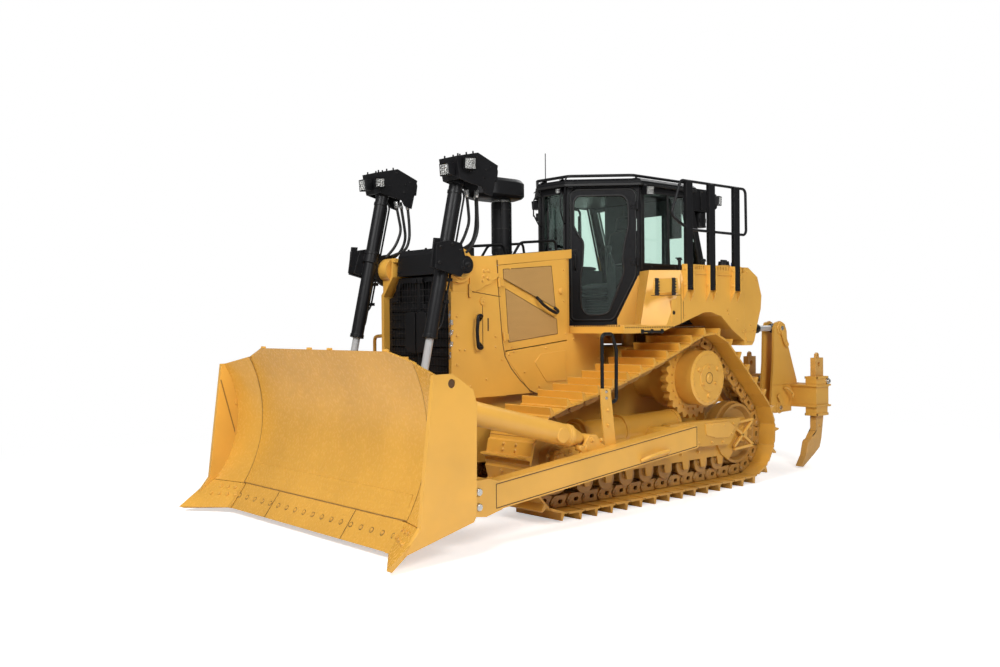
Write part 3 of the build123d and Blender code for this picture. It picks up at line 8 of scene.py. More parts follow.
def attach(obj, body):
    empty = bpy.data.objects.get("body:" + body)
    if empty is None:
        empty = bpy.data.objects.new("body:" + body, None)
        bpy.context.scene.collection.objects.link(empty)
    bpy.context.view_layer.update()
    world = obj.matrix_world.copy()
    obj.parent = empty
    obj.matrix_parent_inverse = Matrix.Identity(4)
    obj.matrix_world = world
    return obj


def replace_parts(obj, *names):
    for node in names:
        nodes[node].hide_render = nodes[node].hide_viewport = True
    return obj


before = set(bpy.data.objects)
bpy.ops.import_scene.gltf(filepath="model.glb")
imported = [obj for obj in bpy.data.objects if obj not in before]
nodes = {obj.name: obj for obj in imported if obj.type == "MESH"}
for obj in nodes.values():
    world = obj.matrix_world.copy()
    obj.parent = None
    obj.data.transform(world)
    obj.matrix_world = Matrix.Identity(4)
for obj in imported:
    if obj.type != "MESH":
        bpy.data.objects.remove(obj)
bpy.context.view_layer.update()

# ---- Camera --------------------------------------------------------------------------
# Eye height of a standing person, off the front left corner, with a slight tilt.
# It has a normal lens, and the shift only centres the machine in the frame.
yaw, pitch, roll = 0.831938, -0.0085022, -0.0086590
look = Vector((-math.cos(yaw) * math.cos(pitch), -math.sin(yaw) * math.cos(pitch), math.sin(pitch)))
level = look.cross(Vector((0, 0, 1))).normalized()
upright = level.cross(look)
right = level * math.cos(roll) + upright * math.sin(roll)
up = upright * math.cos(roll) - level * math.sin(roll)
lens = bpy.data.cameras.new("camera")
lens.sensor_width = 36
lens.lens = 35.3297
lens.shift_x = -0.01066
lens.shift_y = -0.00202
lens.clip_end = 200
camera = bpy.data.objects.new("camera", lens)
bpy.context.scene.collection.objects.link(camera)
bpy.context.scene.camera = camera
turn = Matrix((right, up, -look)).transposed().to_4x4()
camera.matrix_world = Matrix.Translation((7.8013, 7.6016, 1.8313)) @ turn

# ---- Floor and light -----------------------------------------------------------------
# A pale floor that fades into a white world, lit by large soft lamps: a key high on
# the left of the blade, a weaker fill by the track side and one behind for the edges.
def feed(tree, node, inputs):
    """Sets a node's inputs, by name or number, to values or to outputs of other nodes."""
    for key, value in inputs.items():
        if isinstance(value, bpy.types.NodeSocket):
            tree.links.new(value, node.inputs[key])
        else:
            node.inputs[key].default_value = value


def wired(tree, kind, inputs=None, **settings):
    """Adds a shader node with its settings and inputs, and gives its outputs."""
    node = tree.nodes.new("ShaderNode" + kind)
    for key, value in settings.items():
        setattr(node, key, value)
    feed(tree, node, inputs or {})
    return node.outputs


def times(tree, a, b):
    """Product of two values."""
    return wired(tree, "Math", {0: a, 1: b}, operation="MULTIPLY")[0]


def seen_rays(tree):
    """One for what the camera sees, also through glass, and none for all other light."""
    rays = wired(tree, "LightPath")
    return wired(tree, "Math", {0: rays["Is Camera Ray"], 1: rays["Is Transmission Ray"]},
                 operation="MAXIMUM")[0]


floor_paint = bpy.data.materials.new("pale_floor")
floor_paint.use_nodes = True
wiring = floor_paint.node_tree
ground = wiring.nodes["Principled BSDF"]
feed(wiring, ground, {"Base Color": (0.92, 0.92, 0.92, 1), "Roughness": 0.75, "Specular IOR Level": 0.1})
reach = wired(wiring, "VectorMath", {0: wired(wiring, "TexCoord")["Object"]}, operation="LENGTH")
fade = wired(wiring, "MapRange", {"Value": reach["Value"], "From Min": 3.5, "From Max": 9.0},
             interpolation_type="SMOOTHSTEP")[0]
seen = seen_rays(wiring)
lift = wired(wiring, "Emission", {"Strength": times(wiring, seen, 0.52)})[0]
lifted = wired(wiring, "AddShader", {0: ground.outputs[0], 1: lift})[0]
white = wired(wiring, "Emission")[0]
blended = wired(wiring, "MixShader", {0: times(wiring, fade, seen), 1: lifted, 2: white})[0]
feed(wiring, wiring.nodes["Material Output"], {"Surface": blended})

floor_mesh = bpy.data.meshes.new("floor")
floor_sheet = bmesh.new()
bmesh.ops.create_grid(floor_sheet, x_segments=1, y_segments=1, size=60)
floor_sheet.to_mesh(floor_mesh)
floor_sheet.free()
floor = bpy.data.objects.new("floor", floor_mesh)
bpy.context.scene.collection.objects.link(floor)
floor_mesh.materials.append(floor_paint)

world = bpy.data.worlds.new("studio")
world.use_nodes = True
bpy.context.scene.world = world
wiring = world.node_tree
strength = wired(wiring, "MapRange", {"Value": seen_rays(wiring), "To Min": 0.2, "To Max": 1.0})[0]
feed(wiring, wiring.nodes["Background"], {"Color": (1, 1, 1, 1), "Strength": strength})

for name, place, aim, size, power in (
    ("key", (9, 3, 9), (0, 0, 1.5), 5.0, 1050),
    ("fill", (3, 11, 8), (0, 0, 1.5), 3.5, 700),
    ("back", (-8, -2, 8), (0, 0, 2), 6.0, 300),
):
    lamp = bpy.data.lights.new(name, "AREA")
    lamp.size = size
    lamp.energy = power
    lamp_object = bpy.data.objects.new(name, lamp)
    bpy.context.scene.collection.objects.link(lamp_object)
    lamp_object.matrix_world = Matrix.Translation(place) @ (
        (Vector(aim) - Vector(place)).to_track_quat("-Z", "Y").to_matrix().to_4x4())

bpy.context.scene.view_settings.view_transform = "Standard"

# ---- Main frame ----------------------------------------------------------------------
# Welded steel case and belly in the machine's yellow enamel, which is slightly uneven,
# darker and browner towards the bottom, and paler on its edges as a painted highlight
# broken up like rubbed paint. Cover plates are bolted to its flanks.
def new_finish(name, slot):
    """An empty finish, with its node tree and the piece's own coordinates."""
    finish = bpy.data.materials.new(name)
    finish["slot"] = slot
    finish.use_nodes = True
    return finish, finish.node_tree, wired(finish.node_tree, "TexCoord")["Object"]


def noise(tree, place, scale, detail=2.0):
    """Cloudy pattern; a higher scale makes smaller spots."""
    return wired(tree, "TexNoise", {"Vector": place, "Scale": scale, "Detail": detail})["Fac"]


def ranged(tree, source, low, high, to_low, to_high):
    """Spreads the part of a pattern from low to high over another range."""
    return wired(tree, "MapRange", {"Value": source, "From Min": low, "From Max": high,
                                    "To Min": to_low, "To Max": to_high})[0]


def over(tree, below, above, share):
    """One colour over another, as far as share says."""
    below, above = ((*value, 1) if isinstance(value, tuple) else value for value in (below, above))
    return wired(tree, "Mix", {0: share, 6: below, 7: above}, data_type="RGBA")[2]


def coated(name, colour, worn, rough, slot="yellow_paint", metallic=0.0, low_browning=0.25, grain=0.05,
           shine=0.5, uneven=0.07):
    """Painted or bare metal: two near tones, edges paler as a painted highlight broken up like rubbed paint,
    darker and browner towards the bottom, fine bumps.
    """
    finish, tree, place = new_finish(name, slot)
    deeper = tuple(part * 0.86 for part in colour)
    shade = over(tree, colour, deeper, ranged(tree, noise(tree, place, 1.6, 3), 0.35, 0.75, 0, 1))
    rounded = wired(tree, "Bevel", {"Radius": 0.006}, samples=4)[0]
    flat = wired(tree, "NewGeometry")["Normal"]
    facing = wired(tree, "VectorMath", {0: rounded, 1: flat}, operation="DOT_PRODUCT")["Value"]
    # Paler edges: a painted highlight where the rounded normal leaves the flat one, broken up like rubbed
    # paint.
    rim = times(tree, ranged(tree, facing, 0.995, 0.86, 0, 1),
                ranged(tree, noise(tree, place, 23, 4), 0.42, 0.62, 0.15, 0.8))
    # Darker and browner towards the bottom, by height.
    height = wired(tree, "SeparateXYZ", {0: place})["Z"]
    low_brown_share = times(tree, ranged(tree, height, 0.0, 1.3, low_browning, 0),
                    ranged(tree, noise(tree, place, 5, 5), 0.38, 0.7, 0.1, 1))
    shade = over(tree, over(tree, shade, worn, rim), (0.27, 0.17, 0.08), low_brown_share)
    gloss = ranged(tree, noise(tree, place, 38, 3), 0.3, 0.7, rough - uneven, rough + uneven)
    peel = wired(tree, "Bump", {"Height": noise(tree, place, 160), "Normal": rounded,
                                "Strength": grain, "Distance": 0.002})[0]
    feed(tree, tree.nodes["Principled BSDF"], {"Metallic": metallic, "Specular IOR Level": shine,
                                               "Base Color": shade, "Roughness": gloss, "Normal": peel})
    return finish


def dress(finish, *names):
    """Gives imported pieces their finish."""
    for name in names:
        for place in nodes[name].material_slots:
            place.material = finish


def thicken(form, faces, way):
    """Pulls faces along way into a solid, and gives the corners of its far side."""
    grown = bmesh.ops.extrude_face_region(form, geom=faces)["geom"]
    far = [part for part in grown if isinstance(part, bmesh.types.BMVert)]
    bmesh.ops.translate(form, vec=way, verts=far)
    return far


def plate(form, outline, across, low, high):
    """Plate of a given outline, thick from low to high along axis 0, 1 or 2."""
    corners = []
    for pair in outline:
        spot = list(pair)
        spot.insert(across, low)
        corners.append(form.verts.new(spot))
    way = Vector()
    way[across] = high - low
    thicken(form, [form.faces.new(corners)], way)


def rod(form, start, end, radius, sides=16, tip=None):
    """Round bar between two points; tip is its radius at the end."""
    start, end = Vector(start), Vector(end)
    run = end - start
    turned = Matrix.Translation((start + end) / 2) @ run.to_track_quat("Z", "Y").to_matrix().to_4x4()
    bmesh.ops.create_cone(form, cap_ends=True, segments=sides, radius1=radius,
                          radius2=radius if tip is None else tip, depth=run.length, matrix=turned)


def bolt(form, place, out, size=0.022):
    """Hexagon head on a washer; size is the washer's radius."""
    place, out = Vector(place), Vector(out).normalized()
    rod(form, place, place + out * size * 0.3, size, 12)
    rod(form, place + out * size * 0.3, place + out * size * 0.95, size * 0.72, 6)


def bolts(form, places, y, size, side=1):
    """Bolts at places (x, z) on an upright face at y that looks along +Y, or -Y for side -1."""
    for x, z in places:
        bolt(form, (x, y, z), (0, side, 0), size)


def strap(form, start, end, wide, thick, out):
    """Flat bar from start to end, lying on a face that looks along out."""
    start, end, out = Vector(start), Vector(end), Vector(out).normalized()
    run = end - start
    ahead = run.normalized()
    out = (out - ahead * out.dot(ahead)).normalized()
    turned = Matrix((ahead, out.cross(ahead), out)).transposed().to_4x4()
    size = Matrix.Diagonal((run.length, wide, thick, 1))
    centre = (start + end) / 2 + out * thick / 2
    bmesh.ops.create_cube(form, size=1, matrix=Matrix.Translation(centre) @ turned @ size)


def finished(name, form, finish, body, edge=0.0, both=False):
    """Makes a piece of a shaped mesh, on its body; both adds its mirror image."""
    if both:
        bmesh.ops.mirror(form, geom=form.verts[:] + form.edges[:] + form.faces[:], axis="Y", merge_dist=0)
    bmesh.ops.recalc_face_normals(form, faces=form.faces)
    mesh = bpy.data.meshes.new(name)
    form.to_mesh(mesh)
    form.free()
    mesh.shade_smooth()
    mesh.set_sharp_from_angle(angle=math.radians(38))
    mesh.materials.append(finish)
    piece = bpy.data.objects.new(name, mesh)
    bpy.context.scene.collection.objects.link(piece)
    if edge:
        rounding = piece.modifiers.new("edges", "BEVEL")
        rounding.width = edge
        rounding.segments = 2
        rounding.limit_method = "ANGLE"
    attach(piece, body)
    return piece


yellow = coated("yellow_enamel", (0.78, 0.412, 0.068), (0.86, 0.52, 0.14), 0.36, low_browning=0.14)
dress(yellow, "main_frame", "ripper_mount")
form = bmesh.new()
for x in (-1.55, -1.3, -1.05, 0.9, 1.15, 1.4, 1.65):
    bolts(form, ((x, 0.56), (x, 0.72)), 0.4 if x < 0 else 0.36, 0.02)
finished("frame_bolts", form, yellow, "tractor", both=True)

# ---- Track frames --------------------------------------------------------------------
# A welded box beam per side carries the recoil spring in a round housing, with bolted
# guard plates, a cover behind the push arm and idlers on forged forks. The rollers turn
# on shafts whose bolted caps show below the beam.
# The track frames are painted darker than the yellow enamel: painted shade under the track's top run.
dress(coated("track_frame_painted_shade", (0.68, 0.345, 0.042), (0.75, 0.43, 0.1), 0.4, low_browning=0.3), "track_frames")
# Darker link enamel is painted shade, on the chains and on the idlers, rollers and their caps under the track's
# top run.
link_painted_shade = coated("link_enamel_painted_shade", (0.50, 0.25, 0.045), (0.42, 0.33, 0.22), 0.4, "track_steel",
                    low_browning=0.45, grain=0.12)
dress(link_painted_shade, "idlers", "rollers")


def around(x, z, radius, count, start=0.0):
    """Places evenly round a centre, from start in degrees."""
    turns = [math.radians(start + 360 * turn / count) for turn in range(count)]
    return [(x + radius * math.cos(turn), z + radius * math.sin(turn)) for turn in turns]


def disc(form, x, z, near, far, radius, sides=16, tip=None):
    """Round bar or disc along Y; tip is its radius at the far end."""
    rod(form, (x, near, z), (x, far, z), radius, sides, tip)


idler_z = 0.563
form = bmesh.new()
bolts(form, [(x, 0.43) for x in (1.02, 0.72, 0.42, 0.12, -0.18, -0.48, -0.78)], 1.159, 0.02)
bolts(form, ((-0.26, 0.72), (-0.42, 0.73), (-0.58, 0.73), (-0.26, 0.6), (-0.42, 0.57), (-0.66, 0.55),
             (-0.9, 0.72), (-1.12, 0.7), (-1.3, 0.7), (-0.9, 0.53), (-1.1, 0.52), (-1.26, 0.6)), 1.25, 0.017)
plate(form, [(-0.27, 0.63), (-0.27, 0.7), (-0.5, 0.7), (-0.5, 0.63)], 1, 1.2495, 1.262)
plate(form, [(-0.8, 0.615), (-0.78, 0.735), (-1.2, 0.73), (-1.32, 0.66), (-1.2, 0.56), (-0.98, 0.57)],
      1, 1.249, 1.259)
for x in (1.35, -1.578):
    disc(form, x, idler_z, 1.13, 1.185, 0.085, 24)
    disc(form, x, idler_z, 1.185, 1.2, 0.06, 24, 0.05)
    bolts(form, around(x, idler_z, 0.068, 6, 30), 1.185, 0.01)
    for side in (-1, 1):
        bolts(form, ((x + side * 0.15, idler_z + 0.05), (x + side * 0.15, idler_z - 0.05)), 1.17, 0.018)
finished("track_frame_fittings", form, yellow, "tractor", 0.002, both=True)

roller_z = 0.3145
form = bmesh.new()
for place in range(8):
    x = -1.178 + place * 2.128 / 7
    for y in (0.868, 1.113):
        disc(form, x, roller_z, y - 0.004, y + 0.014, 0.062, 20)
        disc(form, x, roller_z, y + 0.012, y + 0.03, 0.034, 16, 0.026)
        bolts(form, around(x, roller_z, 0.048, 5), y + 0.014, 0.007)
finished("roller_caps", form, link_painted_shade, "tractor", both=True)

# ---- Tracks --------------------------------------------------------------------------
# Forged links on pins and bushings, each with a pressed shoe held by four bolts and one
# tall grouser. Shoes and links are painted darker than the yellow enamel as painted shade;
# the shoe tips are paler, rubbed to metal and with a painted highlight.
chain_r, pitch = 0.425, 0.216
seat, face, grouser = 0.04, 0.068, 0.07
front, top, rear = Vector((1.35, 0.563)), Vector((-0.848, 1.225)), Vector((-1.578, 0.563))


def wheel_arc(centre, first, last):
    """Points of the chain's line round one wheel, by angle in degrees."""
    turns = [math.radians(first + (last - first) * step / 40) for step in range(41)]
    return [centre + chain_r * Vector((math.cos(turn), math.sin(turn))) for turn in turns]


def chain_line():
    """Closed line through the pins: front idler, sagging top run, sprocket, rear idler."""
    lean_top = math.degrees(math.atan2(*(top - front).yx)) - 90
    lean_rear = math.degrees(math.atan2(*(rear - top).yx)) + 270
    line = wheel_arc(front, -90, lean_top)
    start, down = line[-1], (front - line[-1]).normalized()
    over_top = wheel_arc(top, lean_top, lean_rear)
    for step in range(1, 40):
        share = step / 40
        line.append(start.lerp(over_top[0], share) + down * 0.22 * share * (1 - share))
    line += over_top + wheel_arc(rear, lean_rear, 270)
    return line + line[:1]


def pin_places():
    """Pins evenly spaced on the chain's line, at the nearest whole number of links."""
    line = chain_line()
    runs = [(b - a).length for a, b in zip(line, line[1:])]
    count = round(sum(runs) / pitch)
    places = []
    k, passed = 0, 0.0
    for link in range(count):
        want = sum(runs) * link / count
        while passed + runs[k] < want:
            passed += runs[k]
            k += 1
        places.append(line[k].lerp(line[k + 1], (want - passed) / runs[k]))
    return places


def shoe(form):
    """One shoe on its own link: x along the chain, z outward, y across, from its pin."""
    gap, half = 0.008, 0.305
    plate(form, [(gap, seat + 0.012), (gap, face), (0.04, face), (0.052, face + grouser),
                 (0.068, face + grouser), (0.086, face), (pitch - 0.012, face),
                 (pitch + 0.004, seat + 0.01), (pitch + 0.036, seat + 0.009),
                 (pitch + 0.036, seat + 0.001), (pitch - 0.014, seat + 0.004)], 1, -half, half)
    for x in (0.118, 0.172):
        for y in (-0.083, 0.083):
            bolt(form, (x, y, face - 0.001), (0, 0, 1), 0.017)


def link(form):
    """One link: bushing end inside, pin end outside, a window in each rail."""
    for side in (-1, 1):
        near, mid, far = (side * y for y in (0.062, 0.083, 0.104))
        plate(form, [(-0.038, 0.0), (-0.022, 0.032), (0.012, seat), (0.1, seat), (0.1, 0.012), (0.072, -0.02),
                     (0.1, -0.045), (0.1, -0.071), (0.005, -0.071), (-0.028, -0.03)], 1, near, mid)
        rings = []
        for ring in ([(0.05, seat), (0.19, seat), (0.236, 0.034), (0.256, 0.0), (0.242, -0.034),
                      (0.2, -0.071), (0.06, -0.071), (0.036, -0.044), (0.06, -0.02), (0.06, 0.012)],
                     [(0.108, 0.007), (0.143, 0.007), (0.155, 0.001), (0.159, -0.008), (0.155, -0.023),
                      (0.143, -0.032), (0.108, -0.032), (0.1, -0.026), (0.098, -0.013), (0.101, -0.001)]):
            corners = [form.verts.new((x, mid, z)) for x, z in ring]
            rings += [form.edges.new(pair) for pair in zip(corners, corners[1:] + corners[:1])]
        thicken(form, bmesh.ops.bridge_loops(form, edges=rings)["faces"], (0, far - mid, 0))
        disc(form, pitch, 0, side * 0.1, side * 0.112, 0.024, 12)
        disc(form, pitch, 0, side * 0.111, side * 0.115, 0.013, 8)
    rod(form, (0, -0.066, 0), (0, 0.066, 0), 0.033, 12)


def repeated(shape, y):
    """The shape once on every link of the chain, with its middle at y."""
    single = bmesh.new()
    shape(single)
    bmesh.ops.recalc_face_normals(single, faces=single.faces)
    pattern = bpy.data.meshes.new("pattern")
    single.to_mesh(pattern)
    single.free()
    chain = bmesh.new()
    places = pin_places()
    for start, end in zip(places, places[1:] + places[:1]):
        along = (end - start).normalized()
        done = len(chain.verts)
        chain.from_mesh(pattern)
        chain.verts.ensure_lookup_table()
        turned = Matrix(((along.x, 0, along.y, start.x), (0, 1, 0, y),
                         (along.y, 0, -along.x, start.y), (0, 0, 0, 1)))
        bmesh.ops.transform(chain, matrix=turned, verts=chain.verts[done:])
    bpy.data.meshes.remove(pattern)
    return chain


# Shoe enamel a little darker than the yellow: painted shade.
shoe_painted_shade = coated("shoe_enamel_painted_shade", (0.70, 0.35, 0.045), (0.62, 0.42, 0.20), 0.42, "track_steel",
                    low_browning=0.3, grain=0.08)
for name, y in (("left", 0.9905), ("right", -0.9905)):
    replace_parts(finished("shoes_" + name, repeated(shoe, y), shoe_painted_shade, "tractor"), "track_" + name)
    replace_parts(finished("chain_" + name, repeated(link, y), link_painted_shade, "tractor"), "track_" + name)

# ---- Sprockets and final drives ------------------------------------------------------
# A toothed ring in five bolted segments on a stepped cast housing, whose outer cover has
# a ring of bolts near its rim, a raised hub plate and three plugs. Ribs brace the fork of
# the rear idler below it.
dress(yellow, "sprockets", "final_drives")
drive = (-0.848, 1.225)


def seam(form, points, y, wide, thick, side=1):
    """Flat line along points (x, z) of an upright face at y."""
    for start, end in zip(points, points[1:]):
        strap(form, (start[0], y, start[1]), (end[0], y, end[1]), wide, thick, (0, side, 0))


form = bmesh.new()
bolts(form, around(*drive, 0.258, 28), 1.24, 0.017)
bolts(form, around(*drive, 0.345, 25, 7.2), 1.0295, 0.017)
disc(form, *drive, 1.25, 1.262, 0.15, 40, 0.144)
bolts(form, around(*drive, 0.118, 3, 90), 1.262, 0.022)
for x, z in around(*drive, 0.19, 3, 30):
    disc(form, x, z, 1.25, 1.27, 0.028, 16, 0.022)
disc(form, *drive, 1.26, 1.272, 0.045, 24, 0.03)
for joint in zip(around(*drive, 0.302, 5, 14.4), around(*drive, 0.404, 5, 14.4)):
    seam(form, joint, 1.0295, 0.008, 0.002)
finished("drive_fittings", form, yellow, "tractor", both=True)
form = bmesh.new()
for radius, y, count in ((0.226, 1.2503, 48), (0.152, 1.2503, 36), (0.06, 1.2625, 20)):
    ring = around(*drive, radius, count)
    seam(form, ring + ring[:1], y, 0.006, 0.0015)
casting_gap = coated("casting_gap", (0.16, 0.07, 0.015), (0.2, 0.1, 0.03), 0.6, low_browning=0.1)
finished("drive_seams", form, casting_gap, "tractor", both=True)
form = bmesh.new()
for rib in (((-1.36, 0.66), (-1.72, 0.43)), ((-1.36, 0.44), (-1.7, 0.70)), ((-1.34, 0.70), (-1.72, 0.72)),
            ((-1.72, 0.43), (-1.36, 0.41))):
    seam(form, rib, 1.2, 0.028, 0.03)
finished("idler_ribs", form, yellow, "tractor", 0.003, both=True)

# ---- Engine and radiator core --------------------------------------------------------
# The engine shows only through its doors, as a cast block in dull grey paint. The core
# behind the grille is a stack of black painted tubes and fins.
black = coated("black_paint", (0.008, 0.008, 0.009), (0.05, 0.048, 0.044), 0.38, "black_paint",
               low_browning=0.06, shine=0.25)
iron = coated("engine_paint", (0.10, 0.10, 0.095), (0.2, 0.19, 0.17), 0.5, "engine_iron", low_browning=0.1)
dress(iron, "engine_block")
dress(black, "radiator_core")
form = bmesh.new()
for k in range(19):
    strap(form, (2.011, -0.46, 1.24 + k * 0.05), (2.011, 0.46, 1.24 + k * 0.05), 0.016, 0.004, (1, 0, 0))
finished("core_fins", form, black, "tractor")

# ---- Radiator guard ------------------------------------------------------------------
# Fabricated steel guard round the radiator, bolted to the frame. It carries the pivots
# of the lift cylinders, with a bolted boss plate, and a hand grip on each flank.
def tubes(name, lines, radius, finish, body, bend=0.04, both=False):
    """Round bars or hoses along corner points, with rounded bends, as one piece."""
    data = bpy.data.curves.new(name, "CURVE")
    data.dimensions = "3D"
    data.bevel_depth = radius
    data.bevel_resolution = 2
    data.use_fill_caps = True
    for side in (1, -1) if both else (1,):
        for line in lines:
            corners = [Vector((x, side * y, z)) for x, y, z in line]
            path = [corners[0]]
            for before, corner, after in zip(corners, corners[1:], corners[2:]):
                back, ahead = before - corner, after - corner
                cut = min(bend, back.length * 0.48, ahead.length * 0.48)
                first, last = corner + back.normalized() * cut, corner + ahead.normalized() * cut
                for step in range(6):
                    share = step / 5
                    path.append(first.lerp(corner, share).lerp(corner.lerp(last, share), share))
            path.append(corners[-1])
            spline = data.splines.new("POLY")
            spline.points.add(len(path) - 1)
            for point, spot in zip(spline.points, path):
                point.co = (*spot, 1)
    data.materials.append(finish)
    piece = bpy.data.objects.new(name, data)
    bpy.context.scene.collection.objects.link(piece)
    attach(piece, body)
    return piece


dress(yellow, "radiator_guard")
# Dark brown for panel joints, and for painted shade inside holes.
gap = coated("panel_gap_and_hole_shade", (0.10, 0.045, 0.012), (0.12, 0.06, 0.02), 0.7, low_browning=0.1)
form = bmesh.new()
plate(form, [(1.868, 2.372), (1.54, 2.306), (1.562, 2.262), (1.607, 2.24), (1.66, 2.2), (1.71, 2.19),
             (1.768, 2.155), (1.847, 2.128), (1.90, 2.14), (1.905, 2.25)], 1, 0.555, 0.572)
bolts(form, ((1.736, 2.33), (1.679, 2.328), (1.737, 2.278), (1.68, 2.257), (1.752, 2.235)), 0.572, 0.017)
plate(form, [(1.918, 2.075), (1.918, 2.2), (1.876, 2.2), (1.876, 2.13), (1.88, 2.075)], 1, 0.555, 0.569)
disc(form, 1.74, 2.039, 0.555, 0.572, 0.04, 28, 0.034)
bolts(form, ((1.74, 2.039),), 0.572, 0.014)
bolts(form, ((1.962, 1.585), (2.024, 1.586), (1.581, 1.708), (1.582, 1.605), (2.06, 1.9), (2.06, 1.72),
             (2.06, 1.45), (1.5, 1.48), (1.7, 1.3), (1.9, 1.24)), 0.556, 0.014)
for z in (1.597, 1.905):
    disc(form, 1.80, z, 0.555, 0.563, 0.03, 20)
finished("guard_fittings", form, yellow, "tractor", 0.002, both=True)
lift_pivot = (2.04, 2.37)
for name, side, finish in (("left", 1, yellow), ("right", -1, black)):
    form = bmesh.new()
    disc(form, *lift_pivot, side * 0.555, side * 0.592, 0.162, 48)
    disc(form, *lift_pivot, side * 0.591, side * 0.612, 0.125, 40)
    finished("trunnion_seat_" + name, form, finish, "tractor", 0.002)

form = bmesh.new()
seam(form, ((1.905, 2.134), (1.513, 2.087)), 0.556, 0.007, 0.0015)
seam(form, ((1.741, 2.0), (1.741, 1.6)), 0.556, 0.007, 0.0015)
seam(form, ((1.918, 2.075), (1.918, 2.2)), 0.5685, 0.007, 0.0015)
seam(form, ((1.548, 2.438), (1.542, 2.198), (1.49, 1.645), (1.46, 1.512), (1.379, 1.39), (1.265, 1.273),
            (1.131, 1.165), (1.0, 1.11), (0.854, 1.085)), 0.5555, 0.009, 0.0016)
seam(form, ((1.672, 1.88), (1.672, 1.758)), 0.556, 0.016, 0.0018)
finished("guard_seams", form, gap, "tractor", both=True)
tubes("guard_grips", [[(1.782, 0.556, 1.862), (1.79, 0.612, 1.905), (1.845, 0.616, 1.905),
                       (1.862, 0.618, 1.75), (1.845, 0.616, 1.597), (1.79, 0.612, 1.6),
                       (1.782, 0.556, 1.64)]], 0.017, black, "tractor", 0.045, both=True)

# ---- Guard cover ---------------------------------------------------------------------
# Folded dark sheet that closes the guard between the lift cylinders; its badge place is
# bare. Bolts hold its edges.
dress(black, "guard_top_cover")
form = bmesh.new()
for y in (-0.28, 0.0, 0.28):
    bolt(form, (1.72, y, 2.562), (0, 0, 1), 0.016)
    bolt(form, (1.98, y, 2.554), (0.07, 0, 1), 0.016)
for y in (-0.3, 0.3):
    for z in (2.34, 2.46):
        bolt(form, (2.092 - (z - 2.3) * 0.1, y, z), (1, 0, 0.1), 0.014)
finished("cover_bolts", form, black, "tractor")

# ---- Grille --------------------------------------------------------------------------
# Two hinged leaves of dark punched sheet on a louvred frame, with a latch box at the top
# of each and a pressed bulge that clears the fan drive low in the middle.
dress(black, "grille_leaf_left", "grille_leaf_right")
for name, side in (("left", 1), ("right", -1)):
    form = bmesh.new()
    for k in range(10):
        y = side * (0.06 + k * 0.044)
        strap(form, (2.062, y, 1.2), (2.062, y, 2.08 if k > 6 else 2.24), 0.006, 0.004, (1, 0, 0))
    for k in range(17):
        z = 1.2 + k * 0.06
        wide_at = side * (0.47 if z < 2.06 else 0.36)
        strap(form, (2.0655, side * 0.02, z), (2.0655, wide_at, z), 0.006, 0.003, (1, 0, 0))
    strap(form, (2.06, side * 0.012, 1.19), (2.06, side * 0.012, 2.27), 0.014, 0.01, (1, 0, 0))
    plate(form, [(side * 0.012, 1.94), (side * 0.12, 1.95), (side * 0.16, 1.93), (side * 0.165, 1.6),
                 (side * 0.12, 1.56), (side * 0.012, 1.55)], 0, 2.06, 2.115)
    plate(form, [(side * 0.02, 2.225), (side * 0.075, 2.225), (side * 0.075, 2.275), (side * 0.02, 2.275)],
          0, 2.06, 2.09)
    for z in (1.3, 1.64, 1.98):
        strap(form, (2.06, side * 0.44, z), (2.06, side * 0.49, z), 0.05, 0.006, (1, 0, 0))
    finished("grille_mesh_" + name, form, black, "grille_leaf_" + name, 0.003)

# ---- Hood ----------------------------------------------------------------------------
# Pressed hood over the engine with a dark non-slip top, a low rail each side of the air
# pipe and small lift eyes.
dress(yellow, "hood")
form = bmesh.new()
strap(form, (1.6, 0, 2.4775), (0.54, 0, 2.5835), 1.0, 0.004, (0.1, 0, 1))
finished("hood_top", form, black, "tractor", 0.001)
tubes("hood_rails", [[(1.66, 0.25, 2.5), (1.63, 0.25, 2.585), (1.2, 0.25, 2.622), (1.17, 0.25, 2.53)],
                     [(1.05, 0.25, 2.535), (0.96, 0.25, 2.655), (0.46, 0.25, 2.7), (0.44, 0.25, 2.6)]],
      0.014, black, "tractor", 0.04, both=True)
form = bmesh.new()
for x in (1.45, 1.25, 0.7):
    skin = 2.494 + (1.568 - x) * 0.1
    rod(form, (x, 0.42, skin), (x, 0.42, skin + 0.018), 0.018, 12)
finished("hood_bolts", form, black, "tractor", both=True)

# ---- Engine side doors ---------------------------------------------------------------
# Formed steel doors, hinged on the slanted front seam. Two punched-sheet windows let the
# air in, parted by a slanted strut that carries the latch grip. Fixed panels close the
# flanks below them.
dress(yellow, "engine_door_left", "engine_door_right", "lower_panels")


def punched(name, colour, hole, spacing, share):
    """Punched sheet: painted metal with a dark round hole in every cell of a grid, the painted shade seen
    through each hole.
    """
    finish = coated(name, colour, colour, 0.45, low_browning=0.05)
    tree = finish.node_tree
    cells = wired(tree, "TexVoronoi", {"Vector": wired(tree, "TexCoord")["Object"], "Scale": 1 / spacing,
                                       "Randomness": 0.0})
    inside = wired(tree, "Math", {0: cells["Distance"], 1: share}, operation="LESS_THAN")[0]
    shader = tree.nodes["Principled BSDF"]
    paint = shader.inputs["Base Color"].links[0].from_socket
    feed(tree, shader, {"Base Color": over(tree, paint, hole, inside)})
    return finish
